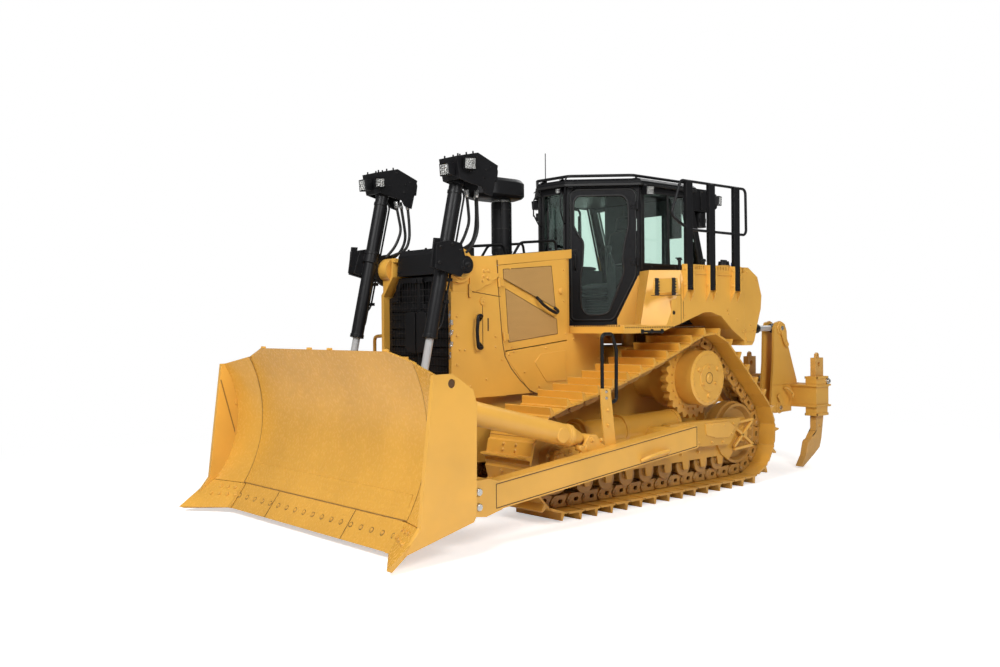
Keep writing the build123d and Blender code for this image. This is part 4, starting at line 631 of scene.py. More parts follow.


# The hole colour is painted shade: the dark engine bay seen through the punched sheet.
mesh_sheet = punched("punched_sheet", (0.68, 0.39, 0.125), (0.31, 0.18, 0.055), 0.011, 0.45)
mesh_windows = ([(1.471, 2.352), (1.466, 2.262), (0.80, 1.995), (0.765, 1.995), (0.815, 2.405)],
                [(1.405, 1.645), (1.442, 2.165), (0.745, 1.868), (0.735, 1.72)])
for name, side in (("left", 1), ("right", -1)):
    body = "engine_door_" + name
    form = bmesh.new()
    for outline in mesh_windows:
        plate(form, outline, 1, side * 0.5495, side * 0.5515)
    finished("door_mesh_" + name, form, mesh_sheet, body)
    form = bmesh.new()
    for outline in mesh_windows:
        seam(form, outline + outline[:1], side * 0.5515, 0.005, 0.001, side)
    finished("door_mesh_edges_" + name, form, gap, body)
    form = bmesh.new()
    disc(form, 0.686, 2.155, side * 0.55, side * 0.562, 0.03, 20)
    seam(form, ((0.686, 2.185), (0.686, 2.125)), side * 0.561, 0.018, 0.012, side)
    bolts(form, ((0.64, 2.37), (0.62, 1.72), (0.64, 2.05), (1.38, 2.36), (1.36, 1.6)), side * 0.55, 0.011, side)
    finished("door_latch_" + name, form, yellow, body, 0.002)
    tubes("door_grip_" + name, [[(1.02, side * 0.552, 2.085), (1.035, side * 0.6, 2.06),
                                 (0.99, side * 0.607, 2.015), (0.90, side * 0.608, 1.965),
                                 (0.80, side * 0.605, 1.925), (0.765, side * 0.6, 1.95),
                                 (0.775, side * 0.552, 1.985)]], 0.0155, black, body, 0.03)
form = bmesh.new()
bolts(form, ((1.40, 1.525), (1.2, 1.35), (1.0, 1.2), (0.7, 1.2), (0.4, 1.2), (0.12, 1.2), (0.12, 1.45),
             (0.12, 1.66), (0.5, 1.66), (0.9, 1.58), (1.34, 1.555)), 0.55, 0.013)
plate(form, [(0.62, 1.24), (0.62, 1.55), (0.98, 1.52), (1.06, 1.44), (0.90, 1.24)], 1, 0.549, 0.556)
finished("lower_panel_bolts", form, yellow, "tractor", 0.002, both=True)

# ---- Air intake ----------------------------------------------------------------------
# Dark intake pipe in two half shells, clamped under a wide pre-cleaner whose oval head
# overhangs forward.
pipe_x = 0.992
form = bmesh.new()
rod(form, (pipe_x, 0, 2.53), (pipe_x, 0, 3.085), 0.1, 32)
for z in (2.6, 2.8, 3.0):
    rod(form, (pipe_x, 0, z), (pipe_x, 0, z + 0.006), 0.102, 32)
for x, y in around(pipe_x, 0, 0.1, 4, 48):
    strap(form, (x, y, 2.55), (x, y, 3.08), 0.012, 0.006, (x - pipe_x, y, 0))
pipe_part = len(form.verts)
profile = ((3.098, 0.15), (3.118, 0.215), (3.14, 0.238), (3.27, 0.238), (3.305, 0.205), (3.318, 0.13))
for z, radius in profile:
    bmesh.ops.create_circle(form, segments=40, radius=radius, matrix=Matrix.Translation((pipe_x, 0, z)))
form.verts.ensure_lookup_table()
rings = [form.verts[pipe_part + 40 * k:pipe_part + 40 * (k + 1)] for k in range(len(profile))]
for ring in rings:
    for corner in ring:
        if corner.co.x > pipe_x:
            corner.co.x += 0.2
for lower, upper in zip(rings, rings[1:]):
    edges = [e for e in form.edges if all(v in lower for v in e.verts) or all(v in upper for v in e.verts)]
    bmesh.ops.bridge_loops(form, edges=edges)
form.faces.new(rings[0])
form.faces.new(rings[-1])
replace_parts(finished("air_intake", form, black, "tractor", 0.003), "air_stack")
silver = coated("plated_steel", (0.62, 0.62, 0.60), (0.8, 0.8, 0.78), 0.28, "chrome_rod",
                metallic=1.0, low_browning=0.0)
form = bmesh.new()
rod(form, (pipe_x, 0, 3.084), (pipe_x, 0, 3.1), 0.099, 32)
finished("intake_clamp", form, silver, "tractor")

# ---- Cab -----------------------------------------------------------------------------
# Rollover cab of folded dark posts with bonded tinted panes. Each pane sits in a rubber
# gasket, and the wide doors shut on a seal. Yellow sill plates close the corners below.
dress(black, "cab_shell", "cab_door_left", "cab_door_right", "cab_roof", "roof_rail", "antenna")


def clear(name, tint, rough):
    """Glass or clear plastic: a faint uneven tint, light smears and a mirror's gloss."""
    finish, tree, place = new_finish(name, "tinted_glass")
    cloud = noise(tree, place, 2.2)
    ripple = wired(tree, "Bump", {"Height": cloud, "Strength": 0.01, "Distance": 0.001})[0]
    feed(tree, tree.nodes["Principled BSDF"], {
        "Transmission Weight": 1.0, "IOR": 1.42, "Normal": ripple,
        "Base Color": over(tree, tint, tuple(part * 0.93 for part in tint), cloud),
        "Roughness": ranged(tree, cloud, 0, 1, rough, rough + 0.03)})
    return finish


tinted = clear("tinted_glass", (0.80, 0.95, 0.88), 0.0)
rubber = coated("rubber", (0.009, 0.009, 0.009), (0.03, 0.03, 0.028), 0.55, "black_paint",
                low_browning=0.05, grain=0.15)
dress(tinted, "cab_glass", "cab_door_pane_left", "cab_door_pane_right")

post = Vector((0.228, 0.2, 0))
along_door = Vector((-0.526, 0.57, 0)).normalized()
door_out = Vector((along_door.y, -along_door.x, 0))
window = [(0.072, 2.87), (0.072, 3.13), (0.115, 3.192), (0.6, 3.192), (0.655, 3.125), (0.66, 2.862),
          (0.622, 2.71), (0.592, 2.504), (0.61, 2.372), (0.444, 1.935), (0.362, 1.91), (0.2, 1.91),
          (0.145, 2.0), (0.14, 2.312), (0.163, 2.428), (0.178, 2.7), (0.11, 2.79)]
edge = [(0.045, 1.89), (0.075, 1.858), (0.465, 1.858), (0.505, 1.885), (0.735, 2.335), (0.735, 3.21),
        (0.69, 3.255), (0.09, 3.255), (0.045, 3.21)]


def on_door(side, outline, out):
    """Points on the slanted door, given by distance from its front post and height."""
    spots = []
    for s, z in outline:
        spot = post + along_door * s + door_out * out
        spots.append((spot.x, side * spot.y, z))
    return spots


for name, side in (("left", 1), ("right", -1)):
    body = "cab_door_" + name
    rim, seal = on_door(side, window, 0.003), on_door(side, edge, 0.003)
    tubes("door_gasket_" + name, [rim + rim[:1]], 0.012, rubber, body, 0.05)
    tubes("door_seal_" + name, [seal + seal[:1]], 0.008, rubber, body, 0.05)
    outward = (door_out.x, side * door_out.y, 0)
    form = bmesh.new()
    for spot in on_door(side, [(s, z) for z in (2.48, 3.08) for s in (0.69, 0.72)], 0.014):
        bolt(form, spot, outward, 0.01)
    strap(form, *on_door(side, [(0.088, 2.36), (0.088, 2.62)], 0.004), 0.046, 0.006, outward)
    finished("door_hardware_" + name, form, black, body, 0.003)
    pull = [on_door(side, [(0.088, z)], out)[0]
            for z, out in ((2.4, 0.008), (2.42, 0.04), (2.56, 0.04), (2.58, 0.008))]
    tubes("door_pull_" + name, [pull], 0.011, black, body, 0.02)
    grip = [on_door(side, [(0.13, z)], out)[0]
            for z, out in ((2.32, -0.045), (2.34, -0.1), (2.95, -0.1), (2.97, -0.045))]
    tubes("door_inner_grip_" + name, [grip], 0.012, black, body, 0.03)

form = bmesh.new()
for side in (-1, 1):
    corners = on_door(side, [(0.532, 1.8), (0.775, 1.8), (0.775, 2.33), (0.758, 2.325), (0.532, 1.868)], 0.0005)
    sheet = form.faces.new([form.verts.new(spot) for spot in corners])
    thicken(form, [sheet], (door_out.x * 0.014, side * door_out.y * 0.014, 0))
finished("door_sill_plates", form, yellow, "tractor", 0.002)
form = bmesh.new()
seam(form, ((-0.365, 2.455), (-0.365, 3.235), (-1.13, 3.235), (-1.35, 2.455), (-0.365, 2.455)),
     0.77, 0.022, 0.005)
seam(form, ((-0.79, 3.235), (-0.81, 2.455)), 0.752, 0.03, 0.012)
plate(form, [(-0.32, 2.40), (-0.32, 3.262), (-0.345, 3.262), (-0.345, 2.40)], 1, 0.768, 0.776)
bolts(form, ((-0.5, 2.43), (-0.9, 2.43), (-1.3, 2.43)), 0.77, 0.012)
finished("side_gaskets", form, rubber, "tractor", 0.002, both=True)
tubes("front_gasket", [[(0.231, -0.16, 2.42), (0.231, 0.16, 2.42), (0.231, 0.16, 3.225), (0.231, -0.16, 3.225),
                        (0.231, -0.16, 2.42)]], 0.009, rubber, "tractor", 0.03)
tubes("wipers", [[(0.236, -0.05, 2.40), (0.262, -0.05, 2.43), (0.262, -0.06, 3.05)],
                 [(0.256, -0.06, 2.75), (0.248, -0.06, 3.12)]], 0.007, rubber, "tractor", 0.02)

# ---- Cab roof ------------------------------------------------------------------------
# Pressed roof with a rolled lip, a rail on short feet for whoever works up there, and
# work lamps at its corners in small dark housings. A dark sheet behind the windscreen
# is painted shade: the dim cab seen through the front glass.
lip_z = 3.303
form = bmesh.new()
for start, end in (((0.273, -0.22), (0.273, 0.22)), ((0.273, 0.22), (-0.278, 0.815)),
                   ((-0.278, 0.815), (-1.24, 0.815)), ((0.273, -0.22), (-0.278, -0.815)),
                   ((-0.278, -0.815), (-1.24, -0.815)), ((-1.24, 0.815), (-1.24, -0.815))):
    start, end = Vector((*start, lip_z)), Vector((*end, lip_z))
    out = (end - start).cross(Vector((0, 0, 1)))
    if out.dot(start + end + Vector((1, 0, 0))) < 0:
        out = -out
    strap(form, start, end, 0.026, 0.008, out)
finished("roof_lip", form, rubber, "tractor", 0.003)
lens = clear("lamp_lens", (0.95, 0.95, 0.93), 0.12)
mirror = coated("lamp_reflector", (0.92, 0.92, 0.92), (0.9, 0.9, 0.9), 0.3, "chrome_rod", low_browning=0.0)


def work_lamp(name, place, out, size, body, both=False):
    """Square lamp: dark housing, bright reflector in cells and a clear lens in front."""
    out = Vector(out).normalized()
    turned = Matrix.Translation(place) @ out.to_track_quat("Z", "Y").to_matrix().to_4x4()
    for finish, word, ahead, wide, deep in ((black, "housing", -0.005, 1.25, 0.09),
                                            (mirror, "reflector", 0.03, 1.0, 0.006),
                                            (lens, "lens", 0.037, 1.0, 0.004)):
        form = bmesh.new()
        block = Matrix.Translation((0, 0, ahead)) @ Matrix.Diagonal((size * wide, size * wide, deep, 1))
        bmesh.ops.create_cube(form, size=1, matrix=turned @ block)
        if word == "housing":
            front = max(form.faces, key=lambda area: area.calc_center_median().dot(out))
            bmesh.ops.inset_region(form, faces=[front], thickness=size * 0.11, depth=0)
            bmesh.ops.translate(form, vec=-out * 0.045, verts=front.verts)
            rod(form, turned @ Vector((0, 0, -0.06)), turned @ Vector((0, 0, -0.1)), size * 0.3, 12)
        if word == "reflector":
            bmesh.ops.subdivide_edges(form, edges=form.edges[:], cuts=2, use_grid_fill=True)
            cells = [area for area in form.faces if area.normal.dot(out) > 0.9]
            bmesh.ops.inset_individual(form, faces=cells, thickness=size * 0.05, depth=-0.006)
        finished(name + "_" + word, form, finish, body, 0.004 if word == "housing" else 0, both)


work_lamp("roof_front_lamp", Vector((0.262, 0.125, 3.25)), (1, 0.25, -0.05), 0.045, "tractor")
work_lamp("roof_side_lamp", Vector((-0.345, 0.86, 3.235)), (0.25, 1, -0.1), 0.08, "tractor", True)
form = bmesh.new()
strap(form, (-0.34, 0.80, 3.31), (-0.34, 0.84, 3.27), 0.05, 0.008, (0, 0, 1))
strap(form, (0.21, 0.25, 3.31), (0.25, 0.28, 3.27), 0.05, 0.008, (0, 0, 1))
for x in (-1.16, -0.29, 0.238):
    y = 0.735 if x < 0 else 0.15
    strap(form, (x - 0.03, y, 3.368), (x + 0.03, y, 3.368), 0.05, 0.006, (0, 0, 1))
finished("roof_brackets", form, black, "tractor", 0.002, both=True)
tubes("roof_front_braces", [[(0.24, 0.22, 3.4), (0.262, 0.215, 3.36), (0.245, 0.19, 3.15), (0.23, 0.18, 3.12)]],
      0.01, black, "tractor", 0.03, both=True)
tubes("mirror_arms", [[(0.232, 0.17, 3.22), (0.30, 0.2, 3.23), (0.33, 0.21, 3.17), (0.33, 0.21, 3.0)],
                      [(0.33, 0.21, 3.02), (0.262, 0.19, 2.9), (0.232, 0.18, 2.9)]],
      0.008, black, "tractor", 0.03, both=True)
# Dark sheet behind the windscreen: painted shade seen through the glass.
shade_sheet = clear("windscreen_painted_shade_film", (0.035, 0.042, 0.042), 0.02)
form = bmesh.new()
plate(form, [(0.185, 2.43), (0.189, 2.43), (0.189, 3.215), (0.185, 3.215)], 1, -0.155, 0.155)
finished("windscreen_painted_shade", form, shade_sheet, "tractor")

# ---- Operator's seat -----------------------------------------------------------------
# Sprung seat on a steel pedestal. Its cushion, back and arm rests are foam under woven
# cloth, crowned in the middle and drawn in along piped seams.
def woven(name, colour, other):
    """Woven cloth: crossed threads in two shades, uneven wear and a soft sheen."""
    finish, tree, place = new_finish(name, "seat_fabric")
    threads = [wired(tree, "TexWave", {"Vector": place, "Scale": 170, "Distortion": 0.4},
                     bands_direction=way)["Fac"] for way in ("X", "Y", "Z")]
    weave = wired(tree, "Math", {0: times(tree, *threads[:2]), 1: threads[2]}, operation="MAXIMUM")[0]
    cloud = noise(tree, place, 7)
    worn = over(tree, over(tree, colour, other, weave), tuple(part * 1.5 for part in other),
                ranged(tree, cloud, 0.5, 0.8, 0, 0.5))
    raised = wired(tree, "Bump", {"Height": weave, "Strength": 0.35, "Distance": 0.001})[0]
    feed(tree, tree.nodes["Principled BSDF"], {
        "Sheen Weight": 0.3, "Base Color": worn, "Normal": raised,
        "Roughness": ranged(tree, cloud, 0, 1, 0.8, 0.95)})
    return finish


cloth = woven("seat_cloth", (0.012, 0.012, 0.014), (0.035, 0.035, 0.04))
plastic = coated("cab_plastic", (0.035, 0.036, 0.038), (0.07, 0.07, 0.072), 0.5, "cab_plastic",
                 low_browning=0.0, grain=0.25)
dress(plastic, "consoles")


def cushion(name, centre, size, lean, creases):
    """Stuffed pad: a crowned closed form with its edge drawn in and creases across its face."""
    form = bmesh.new()
    bmesh.ops.create_grid(form, x_segments=12, y_segments=12, size=0.5)
    upper = thicken(form, form.faces[:], (0, 0, 0.5))
    lower = [corner for corner in form.verts if corner.co.z < 0.25]
    for group, way in ((upper, 1), (lower, -1)):
        for corner in group:
            x, y = corner.co.x * 2, corner.co.y * 2
            crown = (1 - x ** 4) * (1 - y ** 4)
            groove = sum(math.exp(-((x - crease) / 0.05) ** 2) for crease in creases) if way > 0 else 0
            corner.co.z = way * (0.16 + 0.34 * crown ** 0.6 - 0.13 * groove * crown)
            pull = 1 - 0.07 * (x * x * y * y)
            corner.co.x *= pull
            corner.co.y *= pull
    turned = Matrix.Translation(centre) @ Matrix.Rotation(lean, 4, "Y") @ Matrix.Diagonal((*size, 1))
    bmesh.ops.transform(form, matrix=turned, verts=form.verts)
    piece = finished(name, form, cloth, "tractor")
    soft = piece.modifiers.new("stuffing", "SUBSURF")
    soft.levels = 2
    soft.render_levels = 2


cushion("seat_cushion", (-0.64, 0, 2.205), (0.5, 0.5, 0.13), math.radians(-4), (-0.45, 0.45))
cushion("seat_back", (-0.905, 0, 2.58), (0.66, 0.47, 0.13), math.radians(-98), (-0.5, 0.1, 0.6))
cushion("head_rest", (-0.955, 0, 2.985), (0.17, 0.27, 0.09), math.radians(-98), ())
cushion("arm_rest_left", (-0.6, 0.335, 2.462), (0.36, 0.1, 0.05), 0, ())
cushion("arm_rest_right", (-0.6, -0.335, 2.462), (0.36, 0.1, 0.05), 0, ())
form = bmesh.new()
plate(form, [(-0.86, 1.856), (-0.45, 1.856), (-0.5, 1.93), (-0.8, 1.93)], 1, -0.2, 0.2)
for k in range(5):
    wide = 0.25 - 0.012 * (k % 2)
    fold = Matrix.Translation((-0.65, 0, 1.945 + 0.032 * k)) @ Matrix.Rotation(math.radians(45), 4, "Z")
    bmesh.ops.create_cone(form, cap_ends=True, segments=4, radius1=wide, radius2=wide, depth=0.03, matrix=fold)
plate(form, [(-0.88, 2.09), (-0.4, 2.12), (-0.4, 2.15), (-0.88, 2.135)], 1, -0.22, 0.22)
for side in (-1, 1):
    strap(form, (-0.9, side * 0.235, 2.1), (-0.985, side * 0.235, 2.7), 0.05, 0.012, (0, side, 0))
for y in (-0.06, 0.06):
    rod(form, (-0.955, y, 2.84), (-0.968, y, 2.95), 0.008, 10)
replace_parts(finished("seat_frame", form, plastic, "tractor", 0.004), "operator_seat")

# ---- Controls ------------------------------------------------------------------------
# Moulded consoles each side of the seat carry the steering and blade levers, and a
# screen stands on a stalk beside the door.
form = bmesh.new()
for y in (0.335, -0.335):
    rod(form, (-0.36, y, 2.44), (-0.33, y, 2.52), 0.035, 16, 0.018)
    rod(form, (-0.33, y, 2.52), (-0.30, y, 2.62), 0.014, 12)
    knob = Matrix.Translation((-0.295, y, 2.64)) @ Matrix.Diagonal((1, 1, 1.3, 1))
    bmesh.ops.create_uvsphere(form, u_segments=12, v_segments=8, radius=0.034, matrix=knob)
rod(form, (0.05, -0.1, 2.5), (0.03, -0.12, 2.72), 0.014, 12)
plate(form, [(-0.24, 2.70), (0.0, 2.70), (0.0, 2.88), (-0.24, 2.88)], 0, 0.0, 0.03)
for y in (-0.12, 0.12):
    plate(form, [(0.0, 1.93), (-0.09, 1.99), (-0.1, 1.975), (-0.02, 1.9)], 1, y - 0.045, y + 0.045)
finished("controls", form, plastic, "tractor", 0.004)

# ---- Climate unit --------------------------------------------------------------------
# Dark box with the air conditioner's condenser, hung on the rear left of the cab above
# its filter can, with a work lamp behind it. Moulded trims line the cab's rear wall.
dress(black, "climate_box")
form = bmesh.new()
plate(form, [(-1.58, 3.11), (-1.58, 3.33), (-1.41, 3.33), (-1.41, 3.11)], 1, 0.739, 0.75)
bolts(form, ((-1.565, 3.125), (-1.565, 3.315), (-1.425, 3.125), (-1.425, 3.315)), 0.75, 0.01)
rod(form, (-1.5, 0.64, 2.93), (-1.5, 0.64, 3.09), 0.085, 24)
rod(form, (-1.5, 0.64, 2.92), (-1.5, 0.64, 2.935), 0.092, 24)
seam(form, ((-1.44, 3.0), (-1.56, 3.0)), 0.7, 0.05, 0.01)
for k in range(7):
    strap(form, (-1.602, 0.44, 3.13 + 0.03 * k), (-1.602, 0.72, 3.13 + 0.03 * k), 0.012, 0.006, (-1, 0, 0.3))
plate(form, [(-1.6, 3.14), (-1.6, 3.3), (-1.74, 3.32), (-1.78, 3.28), (-1.76, 3.16), (-1.7, 3.12)],
      1, 0.5, 0.72)
finished("climate_fittings", form, black, "tractor", 0.004)
work_lamp("rear_lamp", Vector((-1.7, 0.765, 3.235)), (-0.3, 1, -0.05), 0.085, "tractor")
form = bmesh.new()
for y0, z0, y1, z1 in ((-0.445, 2.3, -0.157, 3.22), (-0.157, 3.05, 0.70, 3.22),
                       (0.425, 2.4, 0.50, 3.05), (0.50, 2.775, 0.70, 3.05)):
    plate(form, [(y0, z0), (y1, z0), (y1, z1), (y0, z1)], 0, -1.115, -1.09)
finished("rear_trims", form, plastic, "tractor", 0.006)

# ---- Fenders -------------------------------------------------------------------------
# Steel boxes over the tracks: a lidded locker held by rubber latches, a battery box with
# a sunk pull, a slotted parapet between the rail posts and a punched walkway plate.
dress(yellow, "fenders", "fuel_tank")
form = bmesh.new()
plate(form, [(0.055, 2.268), (-0.315, 2.285), (-0.335, 2.14), (0.075, 2.12)], 1, 1.249, 1.262)
plate(form, [(-0.315, 2.07), (-0.225, 2.065), (-0.225, 1.82), (-0.275, 1.82)], 1, 1.249, 1.256)
plate(form, [(-0.52, 2.33), (-1.45, 2.33), (-1.45, 2.345), (-0.52, 2.345)], 1, 1.249, 1.264)
bolts(form, ((-0.6, 2.30), (-1.2, 1.95), (-1.38, 1.85), (-0.45, 2.2), (-0.45, 1.9), (-1.48, 2.3),
             (-1.48, 1.72), (-1.22, 1.913)), 1.25, 0.012)
rail_posts = (-0.488, -0.88, -1.333)
for x in rail_posts:
    for z in (2.39, 2.22):
        for side in (-1, 1):
            rod(form, (x + side * 0.062, 1.278, z), (x + side * 0.075, 1.278, z), 0.016, 10)
finished("fender_fittings", form, yellow, "tractor", 0.002, both=True)
form = bmesh.new()
for joint in (((0.1, 2.098), (-0.38, 2.108)), ((-0.385, 2.33), (-0.385, 1.80)),
              ((-0.425, 2.3), (-0.425, 1.86))):
    seam(form, joint, 1.25, 0.006, 0.0012)
finished("fender_seams", form, gap, "tractor", both=True)
# Dark discs paint the shade inside the walkway's punched holes.
form = bmesh.new()
for k in range(48):
    disc(form, 0.488 - k * 0.027, 1.778, 1.2495, 1.2505, 0.0085, 8)
finished("walkway_holes", form, gap, "tractor", both=True)
form = bmesh.new()
strap(form, (0.505, 1.12, 1.796), (0.165, 1.12, 1.796), 0.24, 0.004, (0, 0, 1))
for row in range(8):
    for k in range(12):
        x, y = 0.49 - k * 0.028, 1.02 + row * 0.028
        rod(form, (x, y, 1.799), (x, y, 1.805), 0.009, 8, 0.005)
finished("walkway_tread", form, yellow, "tractor", both=True)
form = bmesh.new()
for x, z in ((0.03, 2.225), (-0.24, 2.235)):
    plate(form, [(x - 0.026, z - 0.13), (x + 0.026, z - 0.13), (x + 0.018, z + 0.03), (x - 0.018, z + 0.03)],
          1, 1.262, 1.276)
    for k in range(5):
        rod(form, (x - 0.024, 1.279, z - 0.11 + k * 0.03), (x + 0.024, 1.279, z - 0.11 + k * 0.03), 0.009, 10)
    rod(form, (x - 0.02, 1.268, z + 0.035), (x + 0.02, 1.268, z + 0.035), 0.016, 12)
finished("locker_latches", form, rubber, "tractor", 0.002, both=True)
form = bmesh.new()
disc(form, -0.258, 1.925, 1.254, 1.259, 0.022, 20)
rod(form, (0.26, 1.236, 1.738), (-0.09, 1.236, 1.734), 0.018, 12)
for x in (0.24, 0.09, -0.07):
    rod(form, (x + 0.02, 1.236, 1.737), (x - 0.02, 1.236, 1.737), 0.027, 12)
finished("walkway_bar", form, black, "tractor", 0.002, both=True)

# ---- Fuel tank -----------------------------------------------------------------------
# Welded tank across the rear with a slanted back, bolted through its lower lip, and
# filler caps on its top: blue for additive, dark for fuel.
form = bmesh.new()
bolts(form, ((-1.535, 1.735), (-1.585, 1.665), (-1.66, 1.675), (-1.70, 1.735), (-1.638, 1.79),
             (-1.56, 2.38), (-1.75, 2.3)), 1.25, 0.013)
plate(form, [(-1.52, 1.70), (-1.745, 1.72), (-1.70, 1.6), (-1.56, 1.6)], 1, 1.249, 1.258)
rod(form, (-1.56, 0.95, 2.431), (-1.56, 0.95, 2.47), 0.075, 24)
rod(form, (-1.57, 1.1, 2.431), (-1.57, 1.1, 2.455), 0.055, 24)
for y in (-0.9, -0.3, 0.3, 0.9):
    for x, z in ((-1.7248, 1.75), (-1.857, 2.05)):
        bolt(form, (x, y, z), (-1, 0, -0.1), 0.014)
finished("tank_fittings", form, yellow, "tractor", 0.002)
blue = coated("cap_blue", (0.02, 0.06, 0.32), (0.05, 0.1, 0.4), 0.4, "cab_plastic", low_browning=0.0)
form = bmesh.new()
rod(form, (-1.57, 1.1, 2.455), (-1.57, 1.1, 2.5), 0.045, 20, 0.04)
for x, y in around(-1.57, 1.1, 0.042, 6):
    rod(form, (x, y, 2.458), (x, y, 2.495), 0.008, 8)
finished("additive_cap", form, blue, "tractor", 0.002)
form = bmesh.new()
rod(form, (-1.56, 0.95, 2.47), (-1.56, 0.95, 2.515), 0.066, 24, 0.06)
strap(form, (-1.61, 0.95, 2.515), (-1.51, 0.95, 2.515), 0.022, 0.018, (0, 0, 1))
for x in (-0.75, -1.18):
    rod(form, (x, 0.95, 2.369), (x, 0.95, 2.5), 0.018, 12)
    rod(form, (x, 0.95, 2.5), (x, 0.95, 2.53), 0.034, 12, 0.02)
    strap(form, (x - 0.03, 0.95, 2.515), (x + 0.06, 0.95, 2.515), 0.02, 0.012, (0, 0, 1))
finished("fuel_cap", form, black, "tractor", 0.002)

# ---- Handrails -----------------------------------------------------------------------
# Dark flat posts bolted in brackets on the fenders, joined by a bent tube; the left one
# reaches forward to the cab door. The front edge of the walkway below is punched too.
dress(black, "handrails")
form = bmesh.new()
for side, places in ((1, rail_posts), (-1, rail_posts[1:])):
    for x in places:
        bolts(form, ((x, 2.2), (x, 2.39)), side * 1.292, 0.017, side)
        for z in (2.795, 3.29):
            rod(form, (x - 0.03, side * 1.272, z), (x + 0.03, side * 1.272, z), 0.022, 12)
finished("rail_clamps", form, black, "tractor", 0.002)
# Dark discs paint the shade inside the holes along the walkway's front edge.
form = bmesh.new()
for k in range(20):
    y = 0.585 + k * 0.032
    rod(form, (0.5195, y, 1.795), (0.5225, y, 1.795), 0.009, 8)
finished("walkway_holes", form, gap, "tractor", both=True)

# ---- Blade ---------------------------------------------------------------------------
# Rolled moldboard with a swept wing each side, welded to plate ends. The seams of the
# wings are ground flush, and two eyes stand on the top edge.
blade_yellow = coated("blade_enamel", (0.73, 0.385, 0.06), (0.75, 0.40, 0.066), 0.27,
                      low_browning=0.03, grain=0.01, uneven=0.012)
dress(yellow, "blade_end_plates", "push_arms", "blade_braces")
dress(blade_yellow, "moldboard")


def arc_points(first, middle, last, count):
    """Points on the arc through three points of the side view."""
    (ax, az), (bx, bz), (cx, cz) = first, middle, last
    turn = 2 * (ax * (bz - cz) + bx * (cz - az) + cx * (az - bz))
    far = [u ** 2 + v ** 2 for u, v in (first, middle, last)]
    x = (far[0] * (bz - cz) + far[1] * (cz - az) + far[2] * (az - bz)) / turn
    z = (far[0] * (cx - bx) + far[1] * (ax - cx) + far[2] * (bx - ax)) / turn
    radius = math.hypot(ax - x, az - z)
    start, end = math.atan2(az - z, ax - x), math.atan2(cz - z, cx - x)
    end += 2 * math.pi if end < start else 0
    return [(x + radius * math.cos(start + (end - start) * k / count),
             z + radius * math.sin(start + (end - start) * k / count)) for k in range(count + 1)]


form = bmesh.new()
wing_seam = arc_points((3.16, 1.522), (3.021, 1.01), (3.232, 0.278), 18)
for side, wide in ((-1, 0.009), (1, 0.003)):
    y = side * 1.352
    for a, b in zip(wing_seam, wing_seam[1:]):
        out = Vector((-(b[1] - a[1]), 0, b[0] - a[0]))
        strap(form, (a[0], y, a[1]), (b[0], y, b[1]), wide, 0.0018, -out if out.x < 0 else out)
strap(form, (3.228, -1.35, 0.281), (3.228, 1.35, 0.281), 0.01, 0.003, (1, 0, 0.4))
for side in (-1, 1):
    seam(form, ((3.28, 1.282), (3.13, 0.74)), side * 1.7295, 0.012, 0.002, -side)
ground_seam = coated("ground_seam", (0.30, 0.145, 0.03), (0.4, 0.2, 0.05), 0.4, low_browning=0.05)
finished("blade_seams", form, ground_seam, "blade")
form = bmesh.new()
for y in (-1.02, -0.17, 0.17, 1.02):
    plate(form, [(3.168, 1.604), (3.196, 1.607), (3.194, 1.628), (3.172, 1.628)], 1, y - 0.03, y + 0.03)
for side in (-1, 1):
    for z in (0.45, 0.75, 1.05):
        seam(form, ((2.95, z), (3.13, z)), side * 1.7305, 0.05, 0.01, -side)
    plate(form, [(3.145, 1.36), (3.1, 1.44), (3.2, 1.44)], 1, side * 1.69, side * 1.7305)
finished("blade_eyes", form, yellow, "blade", 0.003)

# ---- Cutting edge --------------------------------------------------------------------
# Hardened edge in three bolted lengths, and a flared bit at each corner. Plough bolts sit
# nearly flush in the painted face.
dress(blade_yellow, "cutting_edge")
face_out = Vector((0.805, 0, 0.594))
plough_bolts = [Vector((3.311, -1.2835 + k * 0.151, 0.1695)) for k in range(18)]
form = bmesh.new()
for spot in plough_bolts:
    rod(form, spot - face_out * 0.002, spot + face_out * 0.004, 0.021, 14, 0.018)
    rod(form, spot + face_out * 0.003, spot + face_out * 0.007, 0.012, 4)
for side in (-1, 1):
    inner = (Vector((3.409, side * 1.353, 0.055)), Vector((3.246, side * 1.353, 0.276)))
    outer = (Vector((3.718, side * 1.767, 0.048)), Vector((3.383, side * 1.767, 0.285)))
    bit_out = (outer[0] - inner[0]).cross(inner[1] - inner[0]).normalized()
    bit_out = bit_out if bit_out.x > 0 else -bit_out
    for share, places in ((0.8, (0.12, 0.32, 0.52)), (0.52, (0.0, 0.2, 0.4, 0.6))):
        for part in places:
            low, high = inner[0].lerp(inner[1], share), outer[0].lerp(outer[1], share)
            spot = low.lerp(high, part)
            rod(form, spot - bit_out * 0.02, spot + bit_out * 0.012, 0.02, 14, 0.017)
            rod(form, spot + bit_out * 0.01, spot + bit_out * 0.014, 0.011, 4)
finished("edge_bolts", form, blade_yellow, "blade", 0.001)
form = bmesh.new()
for y in (-0.6395, 0.6395, -1.3005, 1.3005):
    strap(form, (3.396, y, 0.056), (3.234, y, 0.275), 0.006, 0.0015, face_out)
for spot in plough_bolts:
    rod(form, spot - face_out * 0.003, spot + face_out * 0.0012, 0.025, 14)
for side in (-1, 1):
    disc(form, 3.1, 1.374, side * 1.732, side * 1.762, 0.0358, 28)
finished("edge_seams", form, gap, "blade")

# ---- Push arms -----------------------------------------------------------------------
# Box-section arms from the trunnions to the blade, closed by a plate whose weld shows as a
# dark outline, with a low step bar and a hand loop beside the cab.
dress(black, "arm_handles")
slope = (0.425 - 0.675) / (2.529 + 0.04)


def arm_z(x, off):
    """Height on the arm's side, off its centre line."""
    return 0.675 + slope * (x + 0.04) + off


